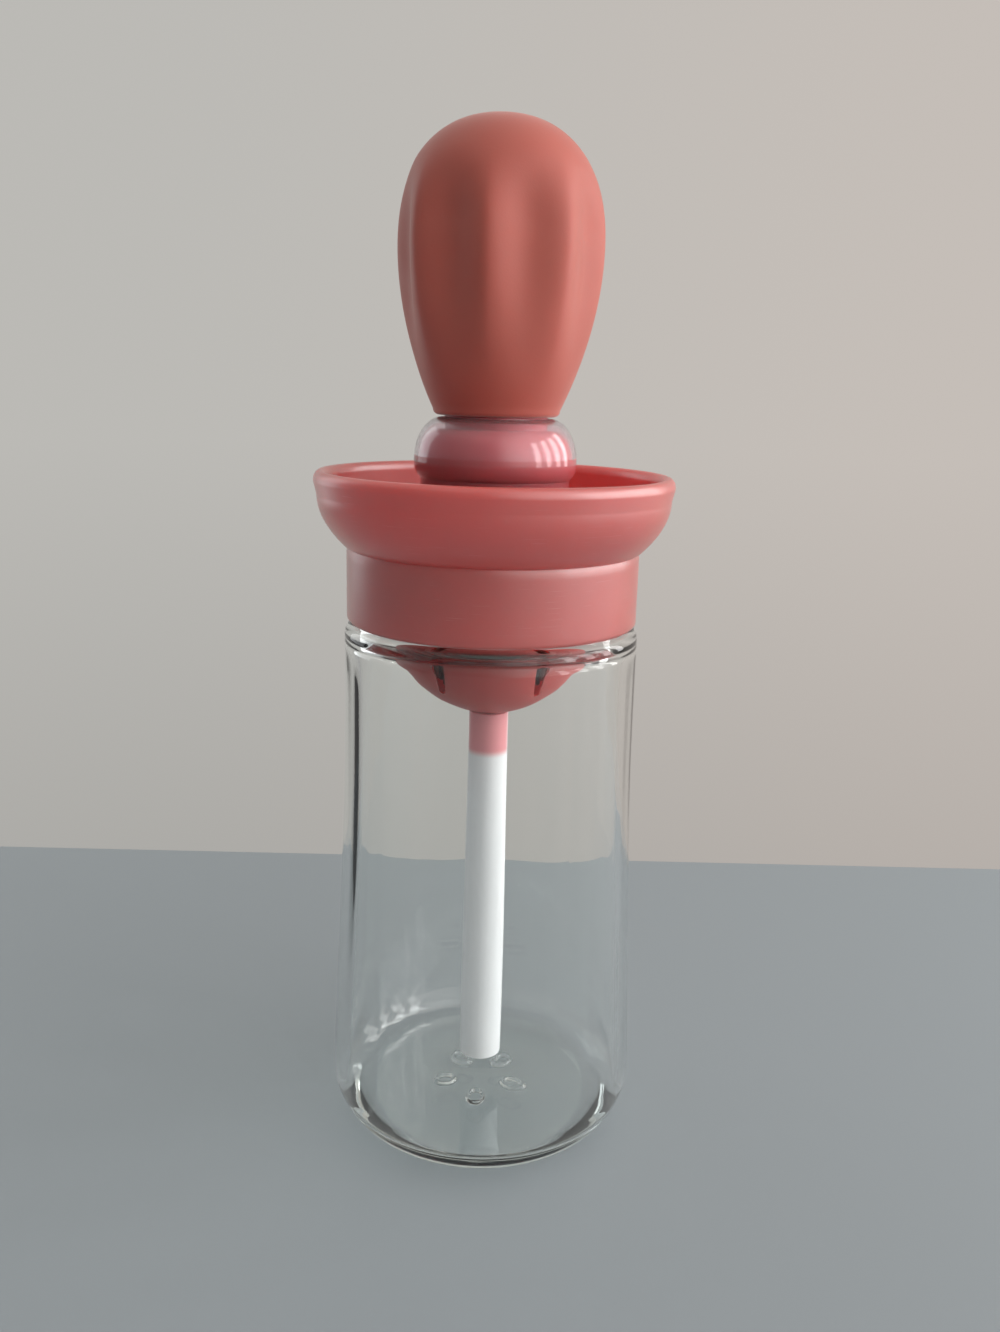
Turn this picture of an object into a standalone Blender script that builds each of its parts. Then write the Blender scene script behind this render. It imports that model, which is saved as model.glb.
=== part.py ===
"""Oil bottle with a squeeze-bulb brush head: glass bottle, screw cap with drip dish, drain cup,
dip straw, clear oil chamber, silicone brush and fluted silicone bulb. Metres, +Z up, table at z = 0."""

import math

import bmesh
import bpy
from mathutils import Vector

# Shared fits
GAP = 0.0003                # clearance left between two pieces that touch
STEPS = 40                  # facets round the turned pieces
SHARP_ANGLE = 35.0          # degrees between faces above which an edge is shaded sharp

# Glass bottle
BODY_HEIGHT = 0.1074        # table to the top of the shoulder
BODY_RADIUS = 0.0288        # outside of the straight upper wall
TAPER_ANGLE = 2.6           # degrees that the lower wall leans out
TAPER_START = 0.077         # height at which the wall begins to lean
TAPER_BLEND = 0.012         # length over which the straight and the leaning wall merge
GLASS_WALL = 0.0028
FLOOR_THICKNESS = 0.0053
FLOOR_FILLET = 0.0030
HEEL_RADIUS = 0.0118
SHOULDER_RADIUS = 0.0024
FOOT_WIDTH = 0.0035         # flat ring that the bottle stands on
PUSH_UP = 0.0010            # hollow under the base
NECK_RADIUS = 0.0242
NECK_WALL = 0.0026
NECK_HEIGHT = 0.0123
RIM_ROUNDING = 0.0009

# Screw thread, on the neck and in the cap
THREAD_PITCH = 0.0040
THREAD_TURNS = 1.25
THREAD_FADE = 0.125         # turns over which each end runs out
THREAD_DEPTH = 0.0012
THREAD_ROOT_WIDTH = 0.0020
THREAD_CREST_WIDTH = 0.0010
THREAD_CLEARANCE = 0.0005   # radial room between a crest and the facing wall
THREAD_FLANK_GAP = 0.0004   # axial room under the bottle's thread, where the cap pulls
THREAD_SINK = 0.0006        # how far a ridge is rooted in its wall
THREAD_END_SINK = 0.0003    # how deep the faded ends of a ridge dip into the wall

# Sealing ring
GASKET_THICKNESS = 0.0012
GASKET_OVERHANG = 0.0003    # past the glass rim, inside and out

# Screw cap with drip dish
COLLAR_WALL = 0.0025
COLLAR_LIFT = 0.00065       # gap over the glass shoulder
COLLAR_EDGE = 0.0009        # rounding of the lower edge
PLATE_THICKNESS = 0.0018
DISH_RADIUS = 0.03455
DISH_HEIGHT = 0.0149        # underside of the plate to the crest of the lip
DISH_WALL = 0.0021
LIP_HEIGHT = 0.0018         # rounded crest
LIP_ROOT = 0.0043           # under the crest, where the lip begins to flare
LIP_FLARE = 0.00055
CREASE_HEIGHT = 0.0004      # step between collar and dish

# Drain cup
CUP_TO_NECK = 0.0032        # room between cup and glass neck
CUP_WALL = 0.0014
CUP_TUBE_LENGTH = 0.0176    # flange to the start of the bowl
BOWL_DEPTH = 0.0164
BOWL_POWER = 2.15           # 2 is a true ellipse, more is squarer
CUP_FLANGE_WIDTH = 0.0026
CUP_FLANGE_THICKNESS = 0.0013
CUP_HOLE_CLEARANCE = 0.0005
SLOT_OFFSET = 0.0083        # middle plane of the cup to the upright side of a slot
SLOT_WIDTH = 0.0024
SLOT_FOOT_WIDTH = 0.0012
SLOT_LENGTH = 0.0100
SLOT_BOTTOM = 0.0056        # above the lowest point of the bowl
NIPPLE_RADIUS = 0.0028
NIPPLE_LENGTH = 0.0086
NIPPLE_BORE = 0.0016
SOCKET_WALL = 0.0015
SOCKET_HEIGHT = 0.0045

# Dip straw
STRAW_WALL = 0.00105
STRAW_TO_FLOOR = 0.0072     # room left under its end
STRAW_STEPS = 20

# Clear oil chamber
CHAMBER_TO_CUP = 0.0014
CHAMBER_WALL = 0.0016
CHAMBER_SKIRT = 0.0132      # below its flange
CHAMBER_FLANGE_WIDTH = 0.0030
CHAMBER_FLANGE_THICKNESS = 0.0013
CHAMBER_WAIST = 0.0013      # how far the wall steps in between flange and dome
DOME_HEIGHT = 0.0215        # flange seat to the top of the dome
DOME_WALL = 0.0010
DOME_BEAD = 0.0030          # height of the rounded underside of the dome
DOME_CORNER_WIDTH = 0.0054
DOME_CORNER_HEIGHT = 0.0082
DOME_THICKNESS = 0.0018
DOME_HOLE_RADIUS = 0.0100   # for the neck of the bulb
DOME_HOLE_LAND = 0.0003     # flat ring round that hole, inside the dome

# Silicone brush
BRUSH_DISC = 0.0022
BRUSH_PLUG_HEIGHT = 0.0050  # how far its plug reaches into the chamber
BRUSH_PLUG_RIM = 0.0018
BRUSH_FUNNEL = 0.0020       # depth of the funnel in the plug
NOZZLE_RADIUS = 0.0031
NOZZLE_BORE = 0.0014
NOZZLE_TIP_GAP = 0.0011     # above the floor of the cup
BRISTLE_RINGS = ((0.0066, 9), (0.0098, 13), (0.0130, 18))
BRISTLE_ROOT = 0.00085
BRISTLE_TIP = 0.00045
BRISTLE_SIDES = 6
BRISTLE_TIP_GAP = 0.0014    # above the bowl

# Silicone bulb
BULB_HEIGHT = 0.0525
BULB_RADIUS = 0.0192
BULB_WIDEST = 0.0300        # height of the widest ring above the seat
BULB_WAIST = 0.0077         # how much narrower the foot is than the widest ring
BULB_WAIST_POWER = 1.9      # how suddenly it narrows
BULB_EDGE = 0.0012
BULB_POWER = 2.3
BULB_WALL = 0.0024
FLUTE_COUNT = 8
FLUTE_STEPS = 6             # facets round one flute
FLUTE_DEPTH = 0.0022
FLUTE_SHARPNESS = 0.75      # 1 is a pure wave, less makes the ridges narrower
FLUTE_PHASE = -7.0          # degrees from +X to the first ridge
FLUTE_LOW = 0.0030          # heights over the seat between which the flutes fade in and out
FLUTE_FULL_LOW = 0.0290
FLUTE_FULL_HIGH = 0.0325
FLUTE_HIGH = 0.0455
PLUG_WALL = 0.0022
PLUG_SKIRT = 0.0150         # below the dome's ceiling
PLUG_TO_CHAMBER = 0.0004
PLUG_BEAD = 0.0024          # height of the rounded underside of the plug
PLUG_INNER_CORNER = 0.0024

# Sizes that follow from those above
NECK_BORE = NECK_RADIUS - NECK_WALL
COLLAR_BORE = NECK_RADIUS + THREAD_DEPTH + THREAD_CLEARANCE
COLLAR_RADIUS = COLLAR_BORE + COLLAR_WALL
CUP_RADIUS = NECK_BORE - CUP_TO_NECK
CUP_BORE = CUP_RADIUS - CUP_WALL
CUP_FLOOR = CUP_TUBE_LENGTH + BOWL_DEPTH
CHAMBER_RADIUS = CUP_BORE - CHAMBER_TO_CUP
CHAMBER_BORE = CHAMBER_RADIUS - CHAMBER_WALL
DOME_BORE = CHAMBER_RADIUS - DOME_WALL
DOME_INNER_CORNER_WIDTH = DOME_BORE - DOME_HOLE_RADIUS - DOME_HOLE_LAND
DOME_INNER_CORNER_HEIGHT = DOME_CORNER_HEIGHT - DOME_THICKNESS
WAIST_BORE = CHAMBER_BORE - CHAMBER_WAIST
BULB_NECK_RADIUS = DOME_HOLE_RADIUS - GAP

# Heights of the seats over the table
RIM_Z = BODY_HEIGHT + NECK_HEIGHT
GASKET_Z = RIM_Z + GAP
PLATE_Z = GASKET_Z + GASKET_THICKNESS + GAP
CUP_Z = PLATE_Z + PLATE_THICKNESS + GAP
CHAMBER_Z = CUP_Z + CUP_FLANGE_THICKNESS + GAP
STRAW_Z = CUP_Z - CUP_FLOOR - GAP
STRAW_LENGTH = STRAW_Z - FLOOR_THICKNESS - STRAW_TO_FLOOR
BRUSH_Z = CHAMBER_Z - CHAMBER_SKIRT - GAP
BULB_Z = CHAMBER_Z + DOME_HEIGHT + GAP


def arc(centre, radii, start, end, count):
    """Points of an elliptical arc in the (radius, height) plane, angles in degrees."""
    points = []
    for i in range(count + 1):
        angle = math.radians(start + (end - start) * i / count)
        points.append((centre[0] + radii[0] * math.cos(angle), centre[1] + radii[1] * math.sin(angle)))
    return points


def smooth(value):
    """Smooth step from 0 to 1."""
    t = min(max(value, 0.0), 1.0)
    return t * t * (3.0 - 2.0 * t)


def material(name, colour, roughness, transmission=0.0):
    """Principled material of one colour."""
    made = bpy.data.materials.new(name)
    made.use_nodes = True
    shader = made.node_tree.nodes["Principled BSDF"]
    shader.inputs["Base Color"].default_value = (*colour, 1.0)
    shader.inputs["Roughness"].default_value = roughness
    shader.inputs["Transmission Weight"].default_value = transmission
    return made


def place(mesh, name, finish=None, z=0.0, parent=None):
    """Puts a mesh into the scene as a named object whose origin is on the axis at height z."""
    made = bpy.data.objects.new(name, mesh)
    bpy.context.scene.collection.objects.link(made)
    if finish:
        mesh.materials.append(finish)
    if parent:
        made.parent = parent
        z -= parent.matrix_world.translation.z
    made.location.z = z
    bpy.context.view_layer.update()
    return made


def finish_mesh(form, name):
    """Closes a bmesh into a mesh with outward faces and smooth shading."""
    bmesh.ops.remove_doubles(form, verts=form.verts, dist=1e-7)
    bmesh.ops.recalc_face_normals(form, faces=form.faces)
    mesh = bpy.data.meshes.new(name)
    form.to_mesh(mesh)
    form.free()
    mesh.shade_smooth()
    mesh.set_sharp_from_angle(angle=math.radians(SHARP_ANGLE))
    return mesh


def turned(name, outline, steps=STEPS):
    """Mesh of a closed outline of (radius, height) points spun round Z."""
    form = bmesh.new()
    ring = [form.verts.new((radius, 0.0, height)) for radius, height in outline]
    edges = [form.edges.new((ring[i - 1], ring[i])) for i in range(len(ring))]
    edges = [edge for edge in edges if edge.verts[0].co.x > 1e-9 or edge.verts[1].co.x > 1e-9]
    bmesh.ops.spin(form, geom=edges, cent=(0, 0, 0), axis=(0, 0, 1), angle=math.tau,
                   steps=steps, use_merge=True)
    loose = [edge for edge in form.edges if not edge.link_faces]
    bmesh.ops.delete(form, geom=loose, context="EDGES")
    return finish_mesh(form, name)


def boolean(target, cutter, operation):
    """Adds a Boolean modifier and hides its cutter."""
    change = target.modifiers.new(cutter.name, "BOOLEAN")
    change.operation = operation
    change.object = cutter
    cutter.hide_render = True
    cutter.display_type = "WIRE"


def thread(name, wall_radius, depth, middle_z):
    """Helical ridge rooted in a wall; a negative depth points inwards. It fades out at both ends.
    Its sections stand half a facet away from the edges of the wall."""
    form = bmesh.new()
    count = round(STEPS * THREAD_TURNS)
    fade = STEPS * THREAD_FADE
    sections = []
    for i in range(count + 1):
        angle = math.tau * (i + 0.5) / STEPS
        z = middle_z + THREAD_PITCH * (angle / math.tau - THREAD_TURNS / 2)
        height = min(1.0, i / fade, (count - i) / fade)
        sunk = wall_radius - math.copysign(THREAD_SINK, depth)
        dip = math.copysign(THREAD_END_SINK, depth) * (1 - height)
        crest = wall_radius + depth * height - dip
        root = THREAD_ROOT_WIDTH / 2 * (1 + THREAD_SINK / abs(depth))
        tip = THREAD_CREST_WIDTH / 2 + (THREAD_ROOT_WIDTH - THREAD_CREST_WIDTH) / 2 * (1 - height)
        section = []
        for radius, rise in ((sunk, -root), (crest, -tip), (crest, tip), (sunk, root)):
            section.append(form.verts.new((radius * math.cos(angle), radius * math.sin(angle), z + rise)))
        sections.append(section)
    for low, high in zip(sections, sections[1:]):
        for j in range(4):
            form.faces.new((low[j - 1], low[j], high[j], high[j - 1]))
    form.faces.new(sections[0])
    form.faces.new(sections[-1])
    return place(finish_mesh(form, name), name)


def body_radius(z):
    """Outside radius of the glass wall: straight above, leaning out below, with a smooth change."""
    below = TAPER_START - z
    return BODY_RADIUS + math.tan(math.radians(TAPER_ANGLE)) * (below + math.hypot(below, TAPER_BLEND)) / 2


def wall_points(low, high, count, inset):
    """Points up the glass wall, moved in by inset."""
    levels = [low + (high - low) * i / count for i in range(count + 1)]
    return [(body_radius(z) - inset, z) for z in levels]


def glass_bottle(finish):
    """Thick-walled bottle with a round heel, a flat shoulder and a wide screw neck."""
    heel_radius = body_radius(HEEL_RADIUS) - HEEL_RADIUS
    foot = heel_radius - FOOT_WIDTH
    inner_floor = body_radius(FLOOR_THICKNESS + FLOOR_FILLET) - GLASS_WALL - FLOOR_FILLET
    wall_top = BODY_HEIGHT - SHOULDER_RADIUS
    roof = BODY_HEIGHT - GLASS_WALL
    outline = [(0.0, PUSH_UP), (foot - 2 * PUSH_UP, PUSH_UP), (foot, 0.0)]
    outline += arc((heel_radius, HEEL_RADIUS), (HEEL_RADIUS, HEEL_RADIUS), -90, -10, 5)
    outline += wall_points(HEEL_RADIUS, wall_top, 6, 0.0)
    outline += arc((body_radius(wall_top) - SHOULDER_RADIUS, wall_top),
                   (SHOULDER_RADIUS, SHOULDER_RADIUS), 15, 90, 4)
    outline += [(NECK_RADIUS, BODY_HEIGHT)]
    outline += arc((NECK_RADIUS - RIM_ROUNDING, RIM_Z - RIM_ROUNDING), (RIM_ROUNDING, RIM_ROUNDING), 0, 90, 2)
    outline += arc((NECK_BORE + RIM_ROUNDING, RIM_Z - RIM_ROUNDING), (RIM_ROUNDING, RIM_ROUNDING), 90, 180, 2)
    outline += [(NECK_BORE, roof)]
    inner_top = body_radius(roof) - GLASS_WALL
    outline += arc((inner_top - SHOULDER_RADIUS, roof - SHOULDER_RADIUS),
                   (SHOULDER_RADIUS, SHOULDER_RADIUS), 90, 0, 3)
    inner_low = FLOOR_THICKNESS + FLOOR_FILLET
    outline += reversed(wall_points(inner_low + GLASS_WALL, roof - 2 * SHOULDER_RADIUS, 5, GLASS_WALL))
    outline += arc((inner_floor, inner_low), (FLOOR_FILLET, FLOOR_FILLET), 0, -90, 4)
    outline += [(0.0, FLOOR_THICKNESS)]
    bottle = place(turned("glass_bottle", outline), "glass_bottle", finish)
    ridge = thread("neck_thread", NECK_RADIUS, THREAD_DEPTH, BODY_HEIGHT + NECK_HEIGHT / 2)
    boolean(bottle, ridge, "UNION")
    return bottle


def cap_gasket(finish, parent):
    """Flat silicone ring between the glass rim and the cap."""
    inner = NECK_BORE - GASKET_OVERHANG
    outer = NECK_RADIUS + GASKET_OVERHANG
    outline = [(inner, 0.0), (outer, 0.0), (outer, GASKET_THICKNESS), (inner, GASKET_THICKNESS)]
    return place(turned("cap_gasket", outline), "cap_gasket", finish, GASKET_Z, parent)


def dish_wall(crease, top, low_radius, high_radius, count):
    """Bowl-shaped wall of the dish, from its foot to the root of the lip."""
    points = []
    for i in range(count + 1):
        t = 1 - i / count
        points.append((high_radius - (high_radius - low_radius) * t * t, top - (top - crease) * t))
    return points


def screw_cap(finish, parent):
    """Threaded collar, plate and drip dish moulded in one; its origin is under the plate."""
    collar_foot = BODY_HEIGHT + COLLAR_LIFT - PLATE_Z
    lip_root = DISH_HEIGHT - LIP_ROOT
    outer_root = DISH_RADIUS - LIP_FLARE
    inner_root = outer_root - DISH_WALL
    hole = CUP_RADIUS + CUP_HOLE_CLEARANCE
    lip_centre = ((DISH_RADIUS + inner_root) / 2, DISH_HEIGHT - LIP_HEIGHT)
    lip_half = (DISH_RADIUS - inner_root) / 2
    outline = [(hole, 0.0), (COLLAR_BORE, 0.0), (COLLAR_BORE, collar_foot)]
    outline += arc((COLLAR_RADIUS - COLLAR_EDGE, collar_foot + COLLAR_EDGE),
                   (COLLAR_EDGE, COLLAR_EDGE), -90, 0, 3)
    outline += dish_wall(CREASE_HEIGHT, lip_root, COLLAR_RADIUS, outer_root, 6)
    outline += arc(lip_centre, (lip_half, LIP_HEIGHT), 0, 180, 6)
    outline += reversed(dish_wall(PLATE_THICKNESS, lip_root, COLLAR_RADIUS - DISH_WALL, inner_root, 6))
    outline += [(hole, PLATE_THICKNESS)]
    cap = place(turned("screw_cap", outline), "screw_cap", finish, PLATE_Z, parent)
    below = (THREAD_ROOT_WIDTH + THREAD_CREST_WIDTH) / 2 + THREAD_FLANK_GAP
    middle = BODY_HEIGHT + NECK_HEIGHT / 2 - below
    ridge = thread("cap_thread", COLLAR_BORE, -THREAD_DEPTH, middle)
    boolean(cap, ridge, "UNION")
    return cap


def bowl_height(radius, across, depth):
    """Depth of the bowl's surface at a radius, below the plane where the bowl begins."""
    return depth * max(0.0, 1 - (radius / across) ** BOWL_POWER) ** (1 / BOWL_POWER)


def bowl(across, depth, low_radius, count):
    """Outline of the bowl from its rim in to a radius near the axis; z = 0 at the flange."""
    points = []
    for i in range(count + 1):
        radius = low_radius + (across - low_radius) * math.cos(math.pi / 2 * i / count)
        points.append((radius, -CUP_TUBE_LENGTH - bowl_height(radius, across, depth)))
    return points


def drain_slots():
    """Cutter for the drain slots: upright on their inner side, narrower below, straight from front to back."""
    form = bmesh.new()
    top_half = SLOT_WIDTH / 2
    foot_half = SLOT_FOOT_WIDTH / 2
    low = -CUP_FLOOR + SLOT_BOTTOM
    outline = arc((SLOT_OFFSET + top_half, low + SLOT_LENGTH - top_half), (top_half, top_half), 180, 0, 4)
    outline += arc((SLOT_OFFSET + foot_half, low + foot_half), (foot_half, foot_half), 0, -180, 4)
    for side in (-1, 1):
        ends = []
        for reach in (-CUP_RADIUS, CUP_RADIUS):
            ends.append([form.verts.new((side * x, reach, z)) for x, z in outline])
        near, far = ends
        for j in range(len(outline)):
            form.faces.new((near[j - 1], near[j], far[j], far[j - 1]))
        form.faces.new(near)
        form.faces.new(far)
    return place(finish_mesh(form, "drain_slots"), "drain_slots", z=CUP_Z)


def brush_cup(finish, parent):
    """Flanged cup for the brush, with drain slots, a socket for the nozzle and a nipple below."""
    floor = -CUP_FLOOR + CUP_WALL
    socket_bore = NOZZLE_RADIUS + GAP
    socket = socket_bore + SOCKET_WALL
    flange = CUP_RADIUS + CUP_FLANGE_WIDTH
    tip = -CUP_FLOOR - NIPPLE_LENGTH
    outline = [(flange, 0.0), (flange, CUP_FLANGE_THICKNESS), (CUP_BORE, CUP_FLANGE_THICKNESS)]
    outline += bowl(CUP_BORE, BOWL_DEPTH - CUP_WALL, socket, 8)
    outline += [(socket, floor + SOCKET_HEIGHT), (socket_bore, floor + SOCKET_HEIGHT), (socket_bore, floor)]
    outline += [(NIPPLE_BORE, floor), (NIPPLE_BORE, tip)]
    outline += [(NIPPLE_RADIUS - GAP, tip), (NIPPLE_RADIUS, tip + 2 * GAP)]
    outline += reversed(bowl(CUP_RADIUS, BOWL_DEPTH, NIPPLE_RADIUS, 8))
    outline += [(CUP_RADIUS, 0.0)]
    cup = place(turned("brush_cup", outline), "brush_cup", finish, CUP_Z, parent)
    boolean(cup, drain_slots(), "DIFFERENCE")
    return cup


def dip_straw(finish, parent):
    """Plastic tube pushed over the nipple, open at both ends; its origin is at its top."""
    inner = NIPPLE_RADIUS + GAP
    outer = inner + STRAW_WALL
    outline = [(inner, 0.0), (outer, 0.0), (outer, -STRAW_LENGTH), (inner, -STRAW_LENGTH)]
    return place(turned("dip_straw", outline, STRAW_STEPS), "dip_straw", finish, STRAW_Z, parent)


def oil_chamber(finish, parent):
    """Clear chamber: skirt, seating flange and a dome with a hole on top; z = 0 under the flange."""
    flange = CHAMBER_RADIUS + CHAMBER_FLANGE_WIDTH
    corner = CHAMBER_RADIUS - DOME_CORNER_WIDTH
    spring = DOME_HEIGHT - DOME_CORNER_HEIGHT
    waist = CHAMBER_RADIUS - CHAMBER_WAIST
    inner_corner = DOME_BORE - DOME_INNER_CORNER_WIDTH
    outline = [(CHAMBER_BORE, -CHAMBER_SKIRT), (CHAMBER_RADIUS, -CHAMBER_SKIRT), (CHAMBER_RADIUS, 0.0)]
    outline += [(flange, 0.0), (flange, CHAMBER_FLANGE_THICKNESS), (waist, CHAMBER_FLANGE_THICKNESS)]
    outline += arc((waist, spring), (CHAMBER_WAIST, DOME_BEAD), -90, -15, 3)
    outline += arc((corner, spring), (DOME_CORNER_WIDTH, DOME_CORNER_HEIGHT), 0, 90, 6)
    outline += [(DOME_HOLE_RADIUS, DOME_HEIGHT), (DOME_HOLE_RADIUS, DOME_HEIGHT - DOME_THICKNESS)]
    outline += reversed(arc((inner_corner, spring),
                            (DOME_INNER_CORNER_WIDTH, DOME_INNER_CORNER_HEIGHT), 0, 90, 5))
    outline += reversed(arc((WAIST_BORE, spring), (DOME_BORE - WAIST_BORE, DOME_BEAD), -90, -25, 3))
    outline += [(WAIST_BORE, CHAMBER_FLANGE_THICKNESS), (CHAMBER_BORE, 0.0)]
    return place(turned("oil_chamber", outline), "oil_chamber", finish, CHAMBER_Z, parent)


def bristles():
    """Tapered bristles in rings, their tips following the bowl of the cup."""
    form = bmesh.new()
    root_z = -BRUSH_DISC / 2
    for ring, (radius, count) in enumerate(BRISTLE_RINGS):
        floor = CUP_Z - BRUSH_Z - CUP_TUBE_LENGTH
        floor -= bowl_height(radius + BRISTLE_TIP, CUP_BORE, BOWL_DEPTH - CUP_WALL)
        tip_z = floor + BRISTLE_TIP_GAP
        for k in range(count):
            angle = math.tau * (k + ring / 2) / count
            centre = Vector((radius * math.cos(angle), radius * math.sin(angle), 0.0))
            levels = ((root_z, BRISTLE_ROOT), (tip_z + BRISTLE_TIP, BRISTLE_TIP), (tip_z, BRISTLE_TIP / 2))
            rings = []
            for z, size in levels:
                points = []
                for side in range(BRISTLE_SIDES):
                    turn = math.tau * side / BRISTLE_SIDES + angle
                    points.append(form.verts.new(
                        (centre.x + size * math.cos(turn), centre.y + size * math.sin(turn), z)))
                rings.append(points)
            for upper, lower in zip(rings, rings[1:]):
                for side in range(BRISTLE_SIDES):
                    form.faces.new((upper[side - 1], upper[side], lower[side], lower[side - 1]))
            form.faces.new(rings[0])
            form.faces.new(rings[-1])
    return place(finish_mesh(form, "bristles"), "bristles", z=BRUSH_Z)


def brush_head(finish, parent):
    """Silicone brush: plug in the chamber, disc, oil nozzle and bristles; z = 0 on top of the disc."""
    plug = CHAMBER_BORE - GAP
    cup_floor = CUP_Z - CUP_FLOOR + CUP_WALL - BRUSH_Z
    tip = cup_floor + NOZZLE_TIP_GAP
    outline = [(NOZZLE_BORE, BRUSH_PLUG_HEIGHT - BRUSH_FUNNEL), (NOZZLE_BORE, tip), (NOZZLE_RADIUS, tip)]
    outline += [(NOZZLE_RADIUS, -BRUSH_DISC)]
    outline += [(CHAMBER_RADIUS - GAP, -BRUSH_DISC), (CHAMBER_RADIUS, -BRUSH_DISC / 2), (CHAMBER_RADIUS, 0.0)]
    outline += [(plug, 0.0), (plug, BRUSH_PLUG_HEIGHT), (plug - BRUSH_PLUG_RIM, BRUSH_PLUG_HEIGHT)]
    brush = place(turned("brush_head", outline), "brush_head", finish, BRUSH_Z, parent)
    boolean(brush, bristles(), "UNION")
    return brush


def bulb_radius(height, inset=0.0):
    """Radius of the bulb over its ridges, for the outside or, moved in by inset, for the inside."""
    widest = BULB_RADIUS - inset
    if height > BULB_WIDEST:
        up = (height - BULB_WIDEST) / (BULB_HEIGHT - inset - BULB_WIDEST)
        return widest * max(0.0, 1 - up ** BULB_POWER) ** (1 / BULB_POWER)
    return widest - BULB_WAIST * ((BULB_WIDEST - height) / BULB_WIDEST) ** BULB_WAIST_POWER


def flute(angle, height):
    """How deep the flutes cut in at an angle from a ridge and a height."""
    rise = (height - FLUTE_LOW) / (FLUTE_FULL_LOW - FLUTE_LOW)
    fall = (FLUTE_HIGH - height) / (FLUTE_HIGH - FLUTE_FULL_HIGH)
    wave = (0.5 - 0.5 * math.cos(FLUTE_COUNT * angle)) ** FLUTE_SHARPNESS
    return FLUTE_DEPTH * smooth(rise) * smooth(fall) * wave


def bulb_side(low, inset, count):
    """Points up the side of the bulb to its pole, closer together near the top, moved in by inset."""
    high = BULB_HEIGHT - inset
    points = []
    for i in range(count):
        height = low + (high - low) * math.sin(math.pi / 2 * i / count)
        points.append((bulb_radius(height, inset), height))
    points.append((0.0, high))
    return points


def squeeze_bulb(finish, parent):
    """Hollow fluted bulb with a neck through the chamber and a plug skirt inside it; z = 0 at its seat."""
    foot = bulb_radius(BULB_EDGE) - BULB_EDGE
    bore = BULB_NECK_RADIUS - PLUG_WALL
    ceiling = -GAP - DOME_THICKNESS - GAP
    plug = DOME_BORE - PLUG_TO_CHAMBER
    skirt = WAIST_BORE - PLUG_TO_CHAMBER
    inner_skirt = skirt - PLUG_WALL
    drop = ceiling - DOME_INNER_CORNER_HEIGHT
    outline = bulb_side(BULB_EDGE, 0.0, 12)
    outline += reversed(bulb_side(BULB_EDGE + BULB_WALL, BULB_WALL, 8))
    outline += [(bore, BULB_WALL), (bore, ceiling - PLUG_WALL)]
    outline += arc((inner_skirt - PLUG_INNER_CORNER, drop - PLUG_WALL),
                   (PLUG_INNER_CORNER, DOME_INNER_CORNER_HEIGHT), 90, 0, 3)
    outline += [(inner_skirt, ceiling - PLUG_SKIRT), (skirt, ceiling - PLUG_SKIRT)]
    outline += arc((skirt, drop), (plug - skirt, PLUG_BEAD), -90, -25, 3)
    outline += arc((plug - DOME_INNER_CORNER_WIDTH, drop),
                   (DOME_INNER_CORNER_WIDTH, DOME_INNER_CORNER_HEIGHT), 0, 90, 5)
    outline += [(BULB_NECK_RADIUS, ceiling), (BULB_NECK_RADIUS, 0.0)]
    outline += arc((foot, BULB_EDGE), (BULB_EDGE, BULB_EDGE), -90, -30, 2)
    mesh = turned("squeeze_bulb", outline, FLUTE_STEPS * FLUTE_COUNT)
    for vertex in mesh.vertices:
        radius = math.hypot(vertex.co.x, vertex.co.y)
        if radius > 1e-6:
            depth = flute(math.atan2(vertex.co.y, vertex.co.x), vertex.co.z)
            vertex.co.x *= 1 - depth / radius
            vertex.co.y *= 1 - depth / radius
    bulb = place(mesh, "squeeze_bulb", finish, BULB_Z, parent)
    bulb.rotation_euler.z = math.radians(FLUTE_PHASE)
    return bulb


for old in list(bpy.data.objects):
    bpy.data.objects.remove(old, do_unlink=True)

clear_glass = material("clear_glass", (0.80, 0.86, 0.83), 0.03, transmission=1.0)
clear_plastic = material("clear_plastic", (0.90, 0.88, 0.90), 0.06, transmission=1.0)
coral_plastic = material("coral_plastic", (0.60, 0.20, 0.17), 0.45)
coral_silicone = material("coral_silicone", (0.58, 0.17, 0.14), 0.60)
milky_plastic = material("milky_plastic", (0.70, 0.71, 0.73), 0.40)
pale_silicone = material("pale_silicone", (0.75, 0.74, 0.72), 0.55)

bottle = glass_bottle(clear_glass)
gasket = cap_gasket(pale_silicone, bottle)
cap = screw_cap(coral_plastic, gasket)
cup = brush_cup(coral_plastic, cap)
straw = dip_straw(milky_plastic, cup)
chamber = oil_chamber(clear_plastic, cap)
brush = brush_head(coral_silicone, chamber)
bulb = squeeze_bulb(coral_silicone, chamber)
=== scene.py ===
"""Oil bottle with a squeeze-bulb brush head, dressed: clear glass, coral cap with its drip dish,
drain cup, milky straw, clear chamber, silicone brush and fluted silicone bulb. Metres, +Z up,
table at z = 0."""

import math

import bmesh
import bpy
from mathutils import Matrix, Vector, noise


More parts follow.
